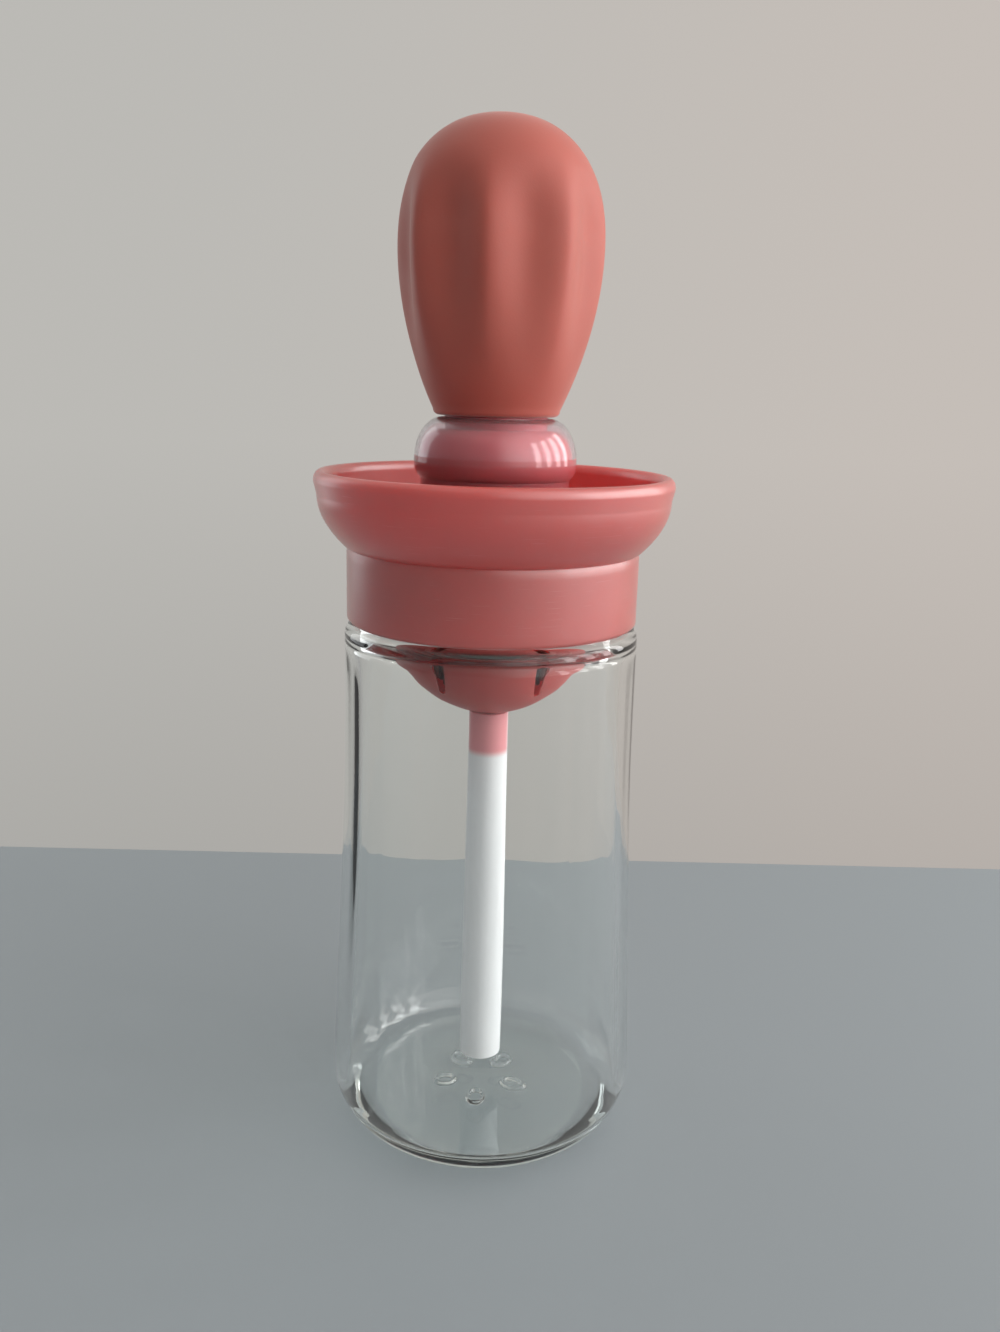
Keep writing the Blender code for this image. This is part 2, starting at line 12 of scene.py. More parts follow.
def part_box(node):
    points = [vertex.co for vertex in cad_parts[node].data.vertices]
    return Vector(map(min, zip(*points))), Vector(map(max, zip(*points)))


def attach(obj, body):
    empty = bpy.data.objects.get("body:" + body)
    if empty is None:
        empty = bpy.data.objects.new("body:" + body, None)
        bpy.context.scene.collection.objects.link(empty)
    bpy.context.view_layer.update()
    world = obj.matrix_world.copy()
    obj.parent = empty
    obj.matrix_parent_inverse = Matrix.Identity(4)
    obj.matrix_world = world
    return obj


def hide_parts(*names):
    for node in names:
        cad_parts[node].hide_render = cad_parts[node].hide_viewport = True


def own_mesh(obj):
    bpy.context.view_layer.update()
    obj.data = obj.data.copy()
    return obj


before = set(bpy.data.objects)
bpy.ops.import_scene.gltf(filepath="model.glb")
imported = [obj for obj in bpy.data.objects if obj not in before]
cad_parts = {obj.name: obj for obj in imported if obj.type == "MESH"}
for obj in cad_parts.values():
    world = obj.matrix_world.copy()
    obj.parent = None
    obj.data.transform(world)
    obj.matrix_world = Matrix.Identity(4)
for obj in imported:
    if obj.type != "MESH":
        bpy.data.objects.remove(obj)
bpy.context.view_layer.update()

# Studio
# The camera stands a hand's length in front of the bottle and a little above its cap, tipped down.
# A pale table top ends just behind the bottle, in a plain pale room with its window on the right.
EYE = (0.0, -0.2200, 0.1526)
EYE_DOWN = 13.93            # degrees, like its turn and its roll
EYE_TURN = -0.51
EYE_ROLL = 1.52
FOCAL_SHARE = 1131 / 1332   # focal length over the height of the picture
SENSOR = 36.0
NEAR_LIMIT = 0.01
LIGHT_BOUNCES = 48          # enough for light to cross all the clear walls
OPEN_BOUNCES = 24
AIM = (0.0, 0.0, 0.11)      # what the lamps point at
TABLE_EDGE = 0.130          # how far behind the bottle the table top ends
TABLE_REACH = 1.6
TABLE_COLOUR = (0.300, 0.335, 0.355)
TABLE_ROUGHNESS = 0.55
WALL_LEFT = (0.500, 0.490, 0.465)       # the wall behind, from its left to its right
WALL_RIGHT = (0.560, 0.515, 0.478)
WALL_FOOT = 0.82                        # the wall is a little darker low down
BRIGHT_SIDE = (1.80, 1.76, 1.73)        # the bright wall beside the window, nearer the camera
BRIGHT_WAY = (0.83, -0.48, 0.28)
LEFT_SIDE = (0.25, 0.25, 0.26)
FRONT_SIDE = (0.22, 0.215, 0.215)       # the darker end of the room, behind the camera
CEILING = (0.50, 0.49, 0.47)
WALL_SPAN = (-0.35, 0.45)               # where each colour starts and ends, along its axis or way
FOOT_SPAN = (-0.40, -0.05)
LEFT_SPAN = (-0.55, -0.90)
FRONT_SPAN = (0.30, -0.55)
CEILING_SPAN = (0.45, 0.80)
BRIGHT_SPAN = (0.45, 0.95)
PANE_TURNS = (62, 80, 98, 116)          # degrees from the camera's side round to the right
PANE_REACH = 0.70
PANE_LIFT = 0.20
PANE_WIDTH = 0.11
PANE_HEIGHT = 0.50
PANE_WATTS = 0.76
PANE_COLOUR = (1.0, 0.985, 0.985)
LEFT_LAMP = (-0.52, 0.34, 0.25)
LEFT_LAMP_WIDTH = 0.30
LEFT_LAMP_HEIGHT = 0.50
LEFT_LAMP_WATTS = 0.46
LEFT_LAMP_COLOUR = (0.95, 0.98, 1.0)


def set_inputs(node, inputs):
    """Gives a node its inputs, as plain values or as sockets to link."""
    for name, value in inputs.items():
        if isinstance(value, bpy.types.NodeSocket):
            node.id_data.links.new(value, node.inputs[name])
        else:
            node.inputs[name].default_value = value


def add_node(tree, kind, inputs=None, **settings):
    """New node with its settings and its inputs."""
    made = tree.nodes.new(kind)
    for name, value in settings.items():
        setattr(made, name, value)
    set_inputs(made, inputs or {})
    return made


def opaque(colour):
    return (*colour, 1.0)


def soft_lamp(name, place, width, height, watts, colour):
    """Rectangular area lamp that points at the bottle."""
    data = bpy.data.lights.new(name, "AREA")
    data.shape = "RECTANGLE"
    data.size = width
    data.size_y = height
    data.energy = watts
    data.color = colour
    lamp = bpy.data.objects.new(name, data)
    lamp.location = place
    lamp.rotation_euler = (Vector(AIM) - Vector(place)).to_track_quat("-Z", "Y").to_euler()
    bpy.context.scene.collection.objects.link(lamp)


def blend_colours(tree, factor, first, second):
    """Colour that goes from the first to the second as the factor goes from 0 to 1."""
    return add_node(tree, "ShaderNodeMix", {0: factor, 6: first, 7: second},
                    data_type="RGBA").outputs[2]


def ramp(tree, value, span):
    """Smooth step of a value from 0 at the span's start to 1 at its end."""
    return add_node(tree, "ShaderNodeMapRange",
                    {"Value": value, "From Min": span[0], "From Max": span[1]},
                    interpolation_type="SMOOTHSTEP").outputs[0]


def multiplied(tree, vector, by):
    """Vector or colour multiplied by another, or by a value."""
    return add_node(tree, "ShaderNodeVectorMath", {0: vector, 1: by},
                    operation="MULTIPLY").outputs[0]


def plain_finish(name, colour, roughness):
    """Principled material with its tree and its shader, for a section to build on."""
    made = bpy.data.materials.new(name)
    made.use_nodes = True
    shader = made.node_tree.nodes["Principled BSDF"]
    set_inputs(shader, {"Base Color": opaque(colour), "Roughness": roughness})
    return made, made.node_tree, shader


def room():
    """World: the pale wall behind, the left side, the darker end, the ceiling, the bright wall."""
    world = bpy.data.worlds.new("room")
    world.use_nodes = True
    tree = world.node_tree
    direction = add_node(tree, "ShaderNodeTexCoord").outputs["Generated"]
    axes = add_node(tree, "ShaderNodeSeparateXYZ", {"Vector": direction}).outputs
    colour = blend_colours(tree, ramp(tree, axes["X"], WALL_SPAN), opaque(WALL_LEFT),
                           opaque(WALL_RIGHT))
    low = add_node(tree, "ShaderNodeMapRange",
                   {"Value": axes["Z"], "From Min": FOOT_SPAN[0], "From Max": FOOT_SPAN[1],
                    "To Min": WALL_FOOT, "To Max": 1.0}).outputs[0]
    colour = multiplied(tree, colour, low)
    bright = add_node(tree, "ShaderNodeVectorMath",
                      {0: direction, 1: Vector(BRIGHT_WAY).normalized()},
                      operation="DOT_PRODUCT").outputs["Value"]
    sides = ((axes["X"], LEFT_SPAN, LEFT_SIDE), (axes["Y"], FRONT_SPAN, FRONT_SIDE),
             (axes["Z"], CEILING_SPAN, CEILING), (bright, BRIGHT_SPAN, BRIGHT_SIDE))
    for value, span, shade in sides:
        colour = blend_colours(tree, ramp(tree, value, span), colour, opaque(shade))
    set_inputs(tree.nodes["Background"], {"Color": colour})
    bpy.context.scene.world = world


def table_top():
    """Flat pale table whose far edge lies just behind the bottle."""
    mesh = bpy.data.meshes.new("table_top")
    corners = [(-TABLE_REACH, -TABLE_REACH, 0), (TABLE_REACH, -TABLE_REACH, 0),
               (TABLE_REACH, TABLE_EDGE, 0), (-TABLE_REACH, TABLE_EDGE, 0)]
    mesh.from_pydata(corners, [], [(0, 1, 2, 3)])
    mesh.materials.append(plain_finish("table_paint", TABLE_COLOUR, TABLE_ROUGHNESS)[0])
    table = bpy.data.objects.new("table_top", mesh)
    bpy.context.scene.collection.objects.link(table)


bpy.context.scene.view_settings.view_transform = "Standard"
camera_data = bpy.data.cameras.new("camera")
camera_data.sensor_fit = "VERTICAL"
camera_data.sensor_height = SENSOR
camera_data.lens = SENSOR * FOCAL_SHARE
camera_data.clip_start = NEAR_LIMIT
camera = bpy.data.objects.new("camera", camera_data)
bpy.context.scene.collection.objects.link(camera)
camera.matrix_world = (Matrix.Translation(EYE)
                       @ Matrix.Rotation(math.radians(EYE_TURN), 4, "Z")
                       @ Matrix.Rotation(math.radians(90 - EYE_DOWN), 4, "X")
                       @ Matrix.Rotation(math.radians(EYE_ROLL), 4, "Z"))
bpy.context.scene.camera = camera
light_paths = bpy.context.scene.cycles
light_paths.max_bounces = LIGHT_BOUNCES
light_paths.transmission_bounces = LIGHT_BOUNCES
light_paths.transparent_max_bounces = OPEN_BOUNCES
light_paths.caustics_reflective = False
room()
table_top()
for pane, degrees in enumerate(PANE_TURNS):
    turn = math.radians(degrees)
    place = (PANE_REACH * math.sin(turn), -PANE_REACH * math.cos(turn), AIM[2] + PANE_LIFT)
    soft_lamp(f"window_pane_{pane}", place, PANE_WIDTH, PANE_HEIGHT, PANE_WATTS, PANE_COLOUR)
soft_lamp("left_lamp", LEFT_LAMP, LEFT_LAMP_WIDTH, LEFT_LAMP_HEIGHT, LEFT_LAMP_WATTS,
          LEFT_LAMP_COLOUR)

# Glass bottle
# Thick clear glass, pressed and blown in a two-part mould: a heavy base with a round heel, a wall
# that leans out towards it, a flat shoulder and a short neck with one coarse thread under the cap.
NECK_HEIGHT = 0.0123
NECK_RADIUS = 0.0242
NECK_WALL = 0.0026
RIM_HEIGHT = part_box("glass_bottle")[1].z
SHOULDER_HEIGHT = RIM_HEIGHT - NECK_HEIGHT
WALL_RADIUS = 0.0288
WALL_LEAN = math.tan(math.radians(2.6))
LEAN_START = 0.077
LEAN_BLEND = 0.012
GLASS_WALL = 0.0028
ROOF_THICKNESS = 0.0022
ROOF_CORNER = 0.0028
FLOOR_THICKNESS = 0.0058
FLOOR_FILLET = 0.0026
HEEL_RADIUS = 0.0118
FOOT_WIDTH = 0.0020
FOOT_LIFT = 0.00003         # keeps the foot off the table top, so that both are drawn
PUSH_UP = 0.0010
SHOULDER_RADIUS = 0.0024
RIM_ROUNDING = 0.0009
NECK_FILLET = 0.0006
THREAD_PITCH = 0.0040
THREAD_TURNS = 1.25
THREAD_FADE = 0.125
THREAD_DEPTH = 0.0012
THREAD_ROOT = 0.0020
THREAD_CREST = 0.0010
THREAD_MIDDLE = (SHOULDER_HEIGHT + RIM_HEIGHT) / 2
WAVE_DEPTH = 0.00016        # unevenness of the blown inner wall
WAVES = ((2.2, 14, 0, 1.40), (7, 9, 5, 0.45), (19, 6, 9, 0.10))     # pace round, up, start, share
WAVE_START = 0.012          # the floor and its rounded corner are even, and so is the shoulder
WAVE_END = 0.006
SEAM_ANGLES = (-58.0, 122.0)
SEAM_HEIGHT = 0.00006
SEAM_WIDTH = 0.0004
SEAM_STEPS = (0.4, 0.9, 1.5)            # where points lie beside a seam, in its widths
SEAM_LOW = 0.030            # it grows from this height over the next stretch
SEAM_GROWTH = 0.050
SEAM_END = 0.006            # and is gone this far under the shoulder
BEAD_COUNT = 5              # plain raised ovals on the inner floor
BEAD_RING = 0.0076
BEAD_TURN = math.radians(-95)
BEAD_LENGTH = 0.0022
BEAD_WIDTH = 0.0016
BEAD_LINE = 0.00060
BEAD_HEIGHT = 0.00075
BEAD_ZONE = 1.4 * BEAD_LENGTH           # the floor is finely divided this far from their ring
GLASS_STEPS = 192
GLASS_TINT = (0.985, 0.995, 0.990)
GLASS_DEPTH_COLOUR = (0.62, 0.90, 0.80)
GLASS_DEPTH_DENSITY = 5.0   # how strongly the glass tints light along its way
STRAIGHT_SHARE = 0.87       # share of the lamps' light that a clear surface lets straight through
CRISP_TURN = math.radians(40)           # an edge that turns more than this stays crisp
TINY = 1e-6                 # smaller than anything that is modelled


def arc(centre, radii, start, end, count):
    """Points of an arc in the (radius, height) plane, in degrees. A pair of radii is an ellipse."""
    wide, tall = radii if isinstance(radii, tuple) else (radii, radii)
    points = []
    for i in range(count + 1):
        angle = math.radians(start + (end - start) * i / count)
        points.append((centre[0] + wide * math.cos(angle), centre[1] + tall * math.sin(angle)))
    return points


def run(start, end, count):
    """Evenly spaced points from start to end."""
    return [tuple(a + (b - a) * i / count for a, b in zip(start, end)) for i in range(count + 1)]


def smooth_step(value):
    t = min(max(value, 0.0), 1.0)
    return t * t * (3.0 - 2.0 * t)


def around(count, start=0.0):
    """Even angles round the axis, in radians."""
    return [start + math.tau * i / count for i in range(count)]


def turned(name, outline, angles):
    """Object made from a closed outline of (radius, height) points spun round Z."""
    form = bmesh.new()
    rows = []
    for radius, height in outline:
        spokes = angles if radius > TINY else angles[:1]
        rows.append([form.verts.new((radius * math.cos(a), radius * math.sin(a), height))
                     for a in spokes])
    count = len(angles)
    for near, far in zip(rows, rows[1:] + rows[:1]):
        if len(near) == 1 and len(far) == 1:
            continue
        for i in range(count):
            corners = []
            for row, k in ((near, i), (near, i + 1), (far, i + 1), (far, i)):
                corner = row[k % len(row)]
                if corner not in corners:
                    corners.append(corner)
            form.faces.new(corners)
    bmesh.ops.recalc_face_normals(form, faces=form.faces)
    return from_form(name, form)


def from_form(name, form):
    """Object in the scene made from a bmesh, smooth but for its crisp edges."""
    mesh = bpy.data.meshes.new(name)
    form.to_mesh(mesh)
    form.free()
    mesh.shade_smooth()
    mesh.set_sharp_from_angle(angle=CRISP_TURN)
    made = bpy.data.objects.new(name, mesh)
    bpy.context.scene.collection.objects.link(made)
    return made


def push_out(piece, amount):
    """Moves each vertex away from the axis by amount(angle, radius, height)."""
    for vertex in piece.data.vertices:
        radius = math.hypot(vertex.co.x, vertex.co.y)
        if radius > TINY:
            factor = 1 + amount(math.atan2(vertex.co.y, vertex.co.x), radius, vertex.co.z) / radius
            vertex.co.x *= factor
            vertex.co.y *= factor


def thread_rise(angle, height, middle):
    """Height of the thread's ridge over its wall, from 0 to 1, at an angle and a height."""
    rise = 0.0
    turn = (angle % math.tau) / math.tau
    while turn <= THREAD_TURNS:
        line = middle + THREAD_PITCH * (turn - THREAD_TURNS / 2)
        flank = (THREAD_ROOT / 2 - abs(height - line)) / ((THREAD_ROOT - THREAD_CREST) / 2)
        fade = min(turn, THREAD_TURNS - turn) / THREAD_FADE
        rise = max(rise, smooth_step(flank) * smooth_step(fade))
        turn += 1
    return rise


def body_radius(z):
    """Outside radius of the glass wall: straight above, leaning out below, with a smooth change."""
    below = LEAN_START - z
    return WALL_RADIUS + WALL_LEAN * (below + math.hypot(below, LEAN_BLEND)) / 2


def wall_run(low, high, count, inset):
    return [(body_radius(z) - inset, z) for (z,) in run((low,), (high,), count)]


def bottle_outline():
    """Outline from the middle of the underside, up the outside, over the rim, down to the floor."""
    heel = body_radius(HEEL_RADIUS) - HEEL_RADIUS
    foot = heel - FOOT_WIDTH
    wall_top = SHOULDER_HEIGHT - SHOULDER_RADIUS
    roof = SHOULDER_HEIGHT - ROOF_THICKNESS
    bore = NECK_RADIUS - NECK_WALL
    outline = [(foot * t, FOOT_LIFT + PUSH_UP * (1 - t * t) ** 2)
               for (t,) in run((0.0,), (1.0,), 14)]
    outline += arc((heel, HEEL_RADIUS), (HEEL_RADIUS, HEEL_RADIUS - FOOT_LIFT), -90, -4, 18)
    outline += wall_run(HEEL_RADIUS, wall_top, 40, 0.0)[1:]
    outline += arc((body_radius(wall_top) - SHOULDER_RADIUS, wall_top),
                   SHOULDER_RADIUS, 8, 90, 10)
    outline += arc((NECK_RADIUS + NECK_FILLET, SHOULDER_HEIGHT + NECK_FILLET),
                   NECK_FILLET, 270, 180, 4)
    outline += run((NECK_RADIUS, SHOULDER_HEIGHT + 2 * NECK_FILLET),
                   (NECK_RADIUS, RIM_HEIGHT - RIM_ROUNDING), 40)
    outline += arc((NECK_RADIUS - RIM_ROUNDING, RIM_HEIGHT - RIM_ROUNDING),
                   RIM_ROUNDING, 15, 90, 5)
    outline += arc((bore + RIM_ROUNDING, RIM_HEIGHT - RIM_ROUNDING),
                   RIM_ROUNDING, 90, 180, 6)
    outline += arc((bore + NECK_FILLET, roof + NECK_FILLET), NECK_FILLET, 180, 270, 4)
    inner_top = body_radius(roof) - GLASS_WALL
    outline += arc((inner_top - ROOF_CORNER, roof - ROOF_CORNER), ROOF_CORNER, 90, 0, 12)
    inner_low = FLOOR_THICKNESS + FLOOR_FILLET
    outline += wall_run(inner_low, roof - 1.3 * ROOF_CORNER, 50, GLASS_WALL)[::-1]
    inner_floor = body_radius(inner_low) - GLASS_WALL - FLOOR_FILLET
    outline += arc((inner_floor, inner_low), FLOOR_FILLET, -8, -90, 12)
    ring_out = BEAD_RING + BEAD_ZONE
    ring_in = BEAD_RING - BEAD_ZONE
    outline += run((inner_floor, FLOOR_THICKNESS), (ring_out, FLOOR_THICKNESS), 8)[1:]
    outline += run((ring_out, FLOOR_THICKNESS), (ring_in, FLOOR_THICKNESS), 32)[1:]
    outline += run((ring_in, FLOOR_THICKNESS), (0.0, FLOOR_THICKNESS), 4)[1:]
    return outline


def seam_rise(angle, radius, height):
    """Fine vertical line that the mould leaves, fading towards the base and the shoulder."""
    rise = 0.0
    for seam in SEAM_ANGLES:
        turn = (angle - math.radians(seam) + math.pi) % math.tau - math.pi
        rise = max(rise, math.exp(-(turn * radius / SEAM_WIDTH) ** 2))
    below = (SHOULDER_HEIGHT - SEAM_END - height) / SEAM_END
    above = (height - SEAM_LOW) / SEAM_GROWTH
    return SEAM_HEIGHT * rise * smooth_step(above) * smooth_step(below)


def glass_unevenness(angle, radius, height):
    """How far a point of the bottle stands off its plain turned shape."""
    if height > SHOULDER_HEIGHT + NECK_FILLET:
        if radius < NECK_RADIUS - TINY:
            return 0.0
        return THREAD_DEPTH * thread_rise(angle, height, THREAD_MIDDLE)
    if radius >= body_radius(height) - GLASS_WALL / 2:
        return seam_rise(angle, radius, height)
    even = smooth_step((height - FLOOR_THICKNESS - FLOOR_FILLET) / WAVE_START)
    even *= smooth_step((SHOULDER_HEIGHT - ROOF_THICKNESS - ROOF_CORNER - height) / WAVE_END)
    uneven = 0.0
    for pace, rise, start, share in WAVES:
        place = Vector((pace * math.cos(angle), pace * math.sin(angle), rise * height + start))
        uneven += share * noise.noise(place)
    return even * WAVE_DEPTH * uneven


def raise_beads(piece):
    """Raises the outlines of plain ovals, set in a ring, from the inner floor."""
    for vertex in piece.data.vertices:
        if abs(vertex.co.z - FLOOR_THICKNESS) > TINY:
            continue
        rise = 0.0
        for angle in around(BEAD_COUNT, BEAD_TURN):
            along = vertex.co.x * math.cos(angle) + vertex.co.y * math.sin(angle)
            along = (along - BEAD_RING) / BEAD_LENGTH
            across = (vertex.co.y * math.cos(angle) - vertex.co.x * math.sin(angle)) / BEAD_WIDTH
            away = abs(math.hypot(along, across) - 1) * BEAD_WIDTH
            rise = max(rise, smooth_step(1 - away / BEAD_LINE))
        vertex.co.z += BEAD_HEIGHT * rise


def clear_finish(name, tint, roughness, ior, transmission=1.0):
    """Clear material that bends what is seen through it, and passes the lamps' light straight."""
    made, tree, shader = plain_finish(name, tint, roughness)
    set_inputs(shader, {"IOR": ior, "Transmission Weight": transmission})
    rays = add_node(tree, "ShaderNodeLightPath")
    let_through = opaque([STRAIGHT_SHARE * value for value in tint])
    open_way = add_node(tree, "ShaderNodeBsdfTransparent", {"Color": let_through})
    both = add_node(tree, "ShaderNodeMixShader",
                    {0: rays.outputs["Is Shadow Ray"], 1: shader.outputs[0],
                     2: open_way.outputs[0]})
    set_inputs(tree.nodes["Material Output"], {"Surface": both.outputs[0]})
    return made, tree, shader


def glass_finish():
    """Glass whose tint grows with the light's way through it."""
    glass, tree = clear_finish("clear_glass", GLASS_TINT, roughness=0.0, ior=1.50)[:2]
    depth = add_node(tree, "ShaderNodeVolumeAbsorption",
                     {"Color": opaque(GLASS_DEPTH_COLOUR), "Density": GLASS_DEPTH_DENSITY})
    set_inputs(tree.nodes["Material Output"], {"Volume": depth.outputs[0]})
    return glass


seam_offsets = [side * step * SEAM_WIDTH / WALL_RADIUS for side in (-1, 1) for step in SEAM_STEPS]
spokes = around(GLASS_STEPS)
for seam_angle in SEAM_ANGLES:
    spokes += [(math.radians(seam_angle) + offset) % math.tau for offset in seam_offsets + [0.0]]
bottle = turned("bottle_glass", bottle_outline(), sorted(spokes))
push_out(bottle, glass_unevenness)
raise_beads(bottle)
bottle.data.materials.append(glass_finish())
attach(bottle, "bottle")
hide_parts("glass_bottle")

# Cap gasket
# Flat ring of soft pale silicone, punched from sheet and pushed up into the cap, where it seals the
# rim of the glass.
GASKET_ROUNDING = 0.00025
GASKET_OVERHANG = 0.0003
GASKET_COLOUR = (0.75, 0.74, 0.72)
GASKET_DUST = (0.85, 0.85, 0.84)


def rounded_bar(inner, outer, low, high, rounding, count=4):
    """Outline of a rectangular section with rounded corners."""
    outline = arc((outer - rounding, low + rounding), rounding, -90, 0, count)
    outline += arc((outer - rounding, high - rounding), rounding, 0, 90, count)
    outline += arc((inner + rounding, high - rounding), rounding, 90, 180, count)
    outline += arc((inner + rounding, low + rounding), rounding, 180, 270, count)
    return outline


def new_group(name, inputs, outputs):
    """Shader node group with named sockets, and its input and output nodes."""
    group = bpy.data.node_groups.new(name, "ShaderNodeTree")
    for socket_name, kind, value in inputs:
        socket = group.interface.new_socket(socket_name, in_out="INPUT",
                                            socket_type="NodeSocket" + kind)
        if value is not None:
            socket.default_value = value
    for socket_name, kind in outputs:
        group.interface.new_socket(socket_name, in_out="OUTPUT", socket_type="NodeSocket" + kind)
    return group, add_node(group, "NodeGroupInput"), add_node(group, "NodeGroupOutput")


def calculate(tree, operation, *values):
    """Result of a math node on values or sockets."""
    return add_node(tree, "ShaderNodeMath", dict(enumerate(values)), operation=operation).outputs[0]


def noise_value(tree, place, scale, detail):
    return add_node(tree, "ShaderNodeTexNoise",
                    {"Vector": place, "Scale": scale, "Detail": detail}).outputs["Fac"]


def share_of(tree, value, low, high):
    """Value from 0 at low to 1 at high, in a straight line."""
    return add_node(tree, "ShaderNodeMapRange",
                    {"Value": value, "From Min": low, "From Max": high}).outputs[0]


def moulded_skin():
    """Group for a moulded surface: cloudy tone, fine dust, and a grain to use as a bump."""
    group, given, result = new_group(
        "moulded_skin",
        [("Vector", "Vector", None), ("Colour", "Color", (0.5, 0.5, 0.5, 1.0)),
         ("Dust Colour", "Color", (0.8, 0.7, 0.7, 1.0)), ("Cloud", "Float", 0.06),
         ("Dust", "Float", 0.10), ("Grain Scale", "Float", 3000.0)],
        [("Color", "Color"), ("Dull", "Float"), ("Grain", "Float")])
    place = given.outputs["Vector"]
    cloud = given.outputs["Cloud"]
    tone = add_node(group, "ShaderNodeMapRange",
                    {"Value": noise_value(group, place, 70.0, 4.0), "From Min": 0.3, "From Max": 0.7,
                     "To Min": calculate(group, "SUBTRACT", 1.0, cloud),
                     "To Max": calculate(group, "ADD", 1.0, cloud)}).outputs[0]
    toned = multiplied(group, given.outputs["Colour"], tone)
    speck = share_of(group, noise_value(group, place, 1400.0, 2.0), 0.62, 0.72)
    patch = share_of(group, noise_value(group, place, 160.0, 3.0), 0.45, 0.70)
    spread = calculate(group, "MULTIPLY_ADD", speck, 0.75, 0.25)
    dust = calculate(group, "MULTIPLY", spread, patch)
    share = calculate(group, "MULTIPLY", dust, given.outputs["Dust"])
    dusty = blend_colours(group, share, toned, given.outputs["Dust Colour"])
    grain = noise_value(group, place, given.outputs["Grain Scale"], 2.0)
    set_inputs(result, {"Color": dusty, "Dull": dust, "Grain": grain})
    return group


def hairlines():
    """Group for fine scratches: thin broken lines along the direction in which Stretch is small."""
    group, given, result = new_group(
        "hairlines",
        [("Vector", "Vector", None), ("Stretch", "Vector", (60.0, 60.0, 5000.0)),
         ("Cover", "Float", 0.5)],
        [("Mask", "Float")])
    place = given.outputs["Vector"]
    stretched = multiplied(group, place, given.outputs["Stretch"])
    thin = share_of(group, noise_value(group, stretched, 1.0, 1.0), 0.66, 0.74)
    here = share_of(group, noise_value(group, place, 220.0, 2.0), 0.50, 0.62)
    both = calculate(group, "MULTIPLY", thin, here)
    set_inputs(result, {"Mask": calculate(group, "MULTIPLY", both, given.outputs["Cover"])})
    return group


SKIN = moulded_skin()
HAIRLINES = hairlines()


def skin_finish(name, colour, dust_colour, roughness, cloud, dust, grain_scale, grain_depth,
                inside, spread, scratches=0.0):
    """Matte moulded finish with tone, dust, grain and, where asked, hairlines round the axis. The
    share inside of its light goes in, and it spreads so many metres in red, green and blue."""
    made, tree, shader = plain_finish(name, colour, roughness)
    place = add_node(tree, "ShaderNodeTexCoord").outputs["Object"]
    skin = add_node(tree, "ShaderNodeGroup", node_tree=SKIN)
    set_inputs(skin, {"Vector": place, "Colour": opaque(colour), "Dust Colour": opaque(dust_colour),
                      "Cloud": cloud, "Dust": dust, "Grain Scale": grain_scale})
    colour_socket = skin.outputs["Color"]
    height_socket = skin.outputs["Grain"]
    if scratches:
        marks = add_node(tree, "ShaderNodeGroup", node_tree=HAIRLINES)
        set_inputs(marks, {"Vector": place, "Cover": scratches})
        mask = marks.outputs["Mask"]
        colour_socket = blend_colours(tree, mask, colour_socket, opaque(dust_colour))
        height_socket = calculate(tree, "SUBTRACT", height_socket, mask)
    dull = calculate(tree, "MULTIPLY_ADD", skin.outputs["Dull"], 0.25, roughness)
    bump = add_node(tree, "ShaderNodeBump",
                    {"Height": height_socket, "Distance": grain_depth, "Strength": 1.0})
    set_inputs(shader, {"Base Color": colour_socket, "Roughness": dull,
                        "Normal": bump.outputs[0], "Subsurface Weight": inside,
                        "Subsurface Radius": spread, "Subsurface Scale": 1.0})
    return made, shader


gasket_low, gasket_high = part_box("cap_gasket")
gasket_bar = rounded_bar(NECK_RADIUS - NECK_WALL - GASKET_OVERHANG, gasket_high.x,
                         gasket_low.z, gasket_high.z, GASKET_ROUNDING)
gasket = turned("gasket_ring", gasket_bar, around(128))
gasket.data.materials.append(skin_finish(
    "pale_silicone", GASKET_COLOUR, GASKET_DUST, roughness=0.55, cloud=0.03, dust=0.10,
    grain_scale=2500.0, grain_depth=0.00002, inside=0.20, spread=(0.0010, 0.0010, 0.0009))[0])
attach(gasket, "seal")
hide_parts("cap_gasket")

# Screw cap
# Matte coral polypropylene, moulded in one: a threaded collar over the neck, a plate that carries
# the cup, and a wide drip dish with a thick rounded lip. Handling leaves fine hairlines round it.
plate_low, plate_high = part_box("screw_cap")
THREAD_PLAY = 0.0005
COLLAR_BORE = NECK_RADIUS + THREAD_DEPTH + THREAD_PLAY
COLLAR_WALL = 0.0025
COLLAR_RADIUS = COLLAR_BORE + COLLAR_WALL
COLLAR_EDGE = 0.0009
COLLAR_FILLET = 0.0010
FINE_EDGE = 0.0003          # roundings of moulded edges
SMALL_EDGE = 0.0004
DISH_RADIUS = plate_high.x
DISH_TOP = plate_high.z
DISH_HEIGHT = 0.0149
PLATE_HEIGHT = DISH_TOP - DISH_HEIGHT
PLATE_THICKNESS = 0.0018
DISH_WALL = 0.0021
LIP_HEIGHT = 0.0018
LIP_ROOT = 0.0043
LIP_FLARE = 0.00055
CREASE_HEIGHT = 0.0004
CREASE_DEPTH = 0.00025
CREASE_BLEND = 0.0008
CUP_TO_NECK = 0.0032
CUP_PLAY = 0.0005
CUP_RADIUS = NECK_RADIUS - NECK_WALL - CUP_TO_NECK
CUP_HOLE = CUP_RADIUS + CUP_PLAY
FLANK_PLAY = 0.0004
THREAD_BELOW = (THREAD_ROOT + THREAD_CREST) / 2 + FLANK_PLAY    # under the thread of the neck
CORAL = (0.525, 0.092, 0.080)
CORAL_DUST = (0.68, 0.32, 0.30)
CORAL_SPREAD = (0.0100, 0.0030, 0.0027)


def dish_wall(low, top, low_radius, high_radius, count):
    """Bowl-shaped wall of the dish, from its foot to the root of the lip."""
    points = []
    for i in range(count + 1):
        t = 1 - i / count
        points.append((high_radius - (high_radius - low_radius) * t * t, top - (top - low) * t))
    return points


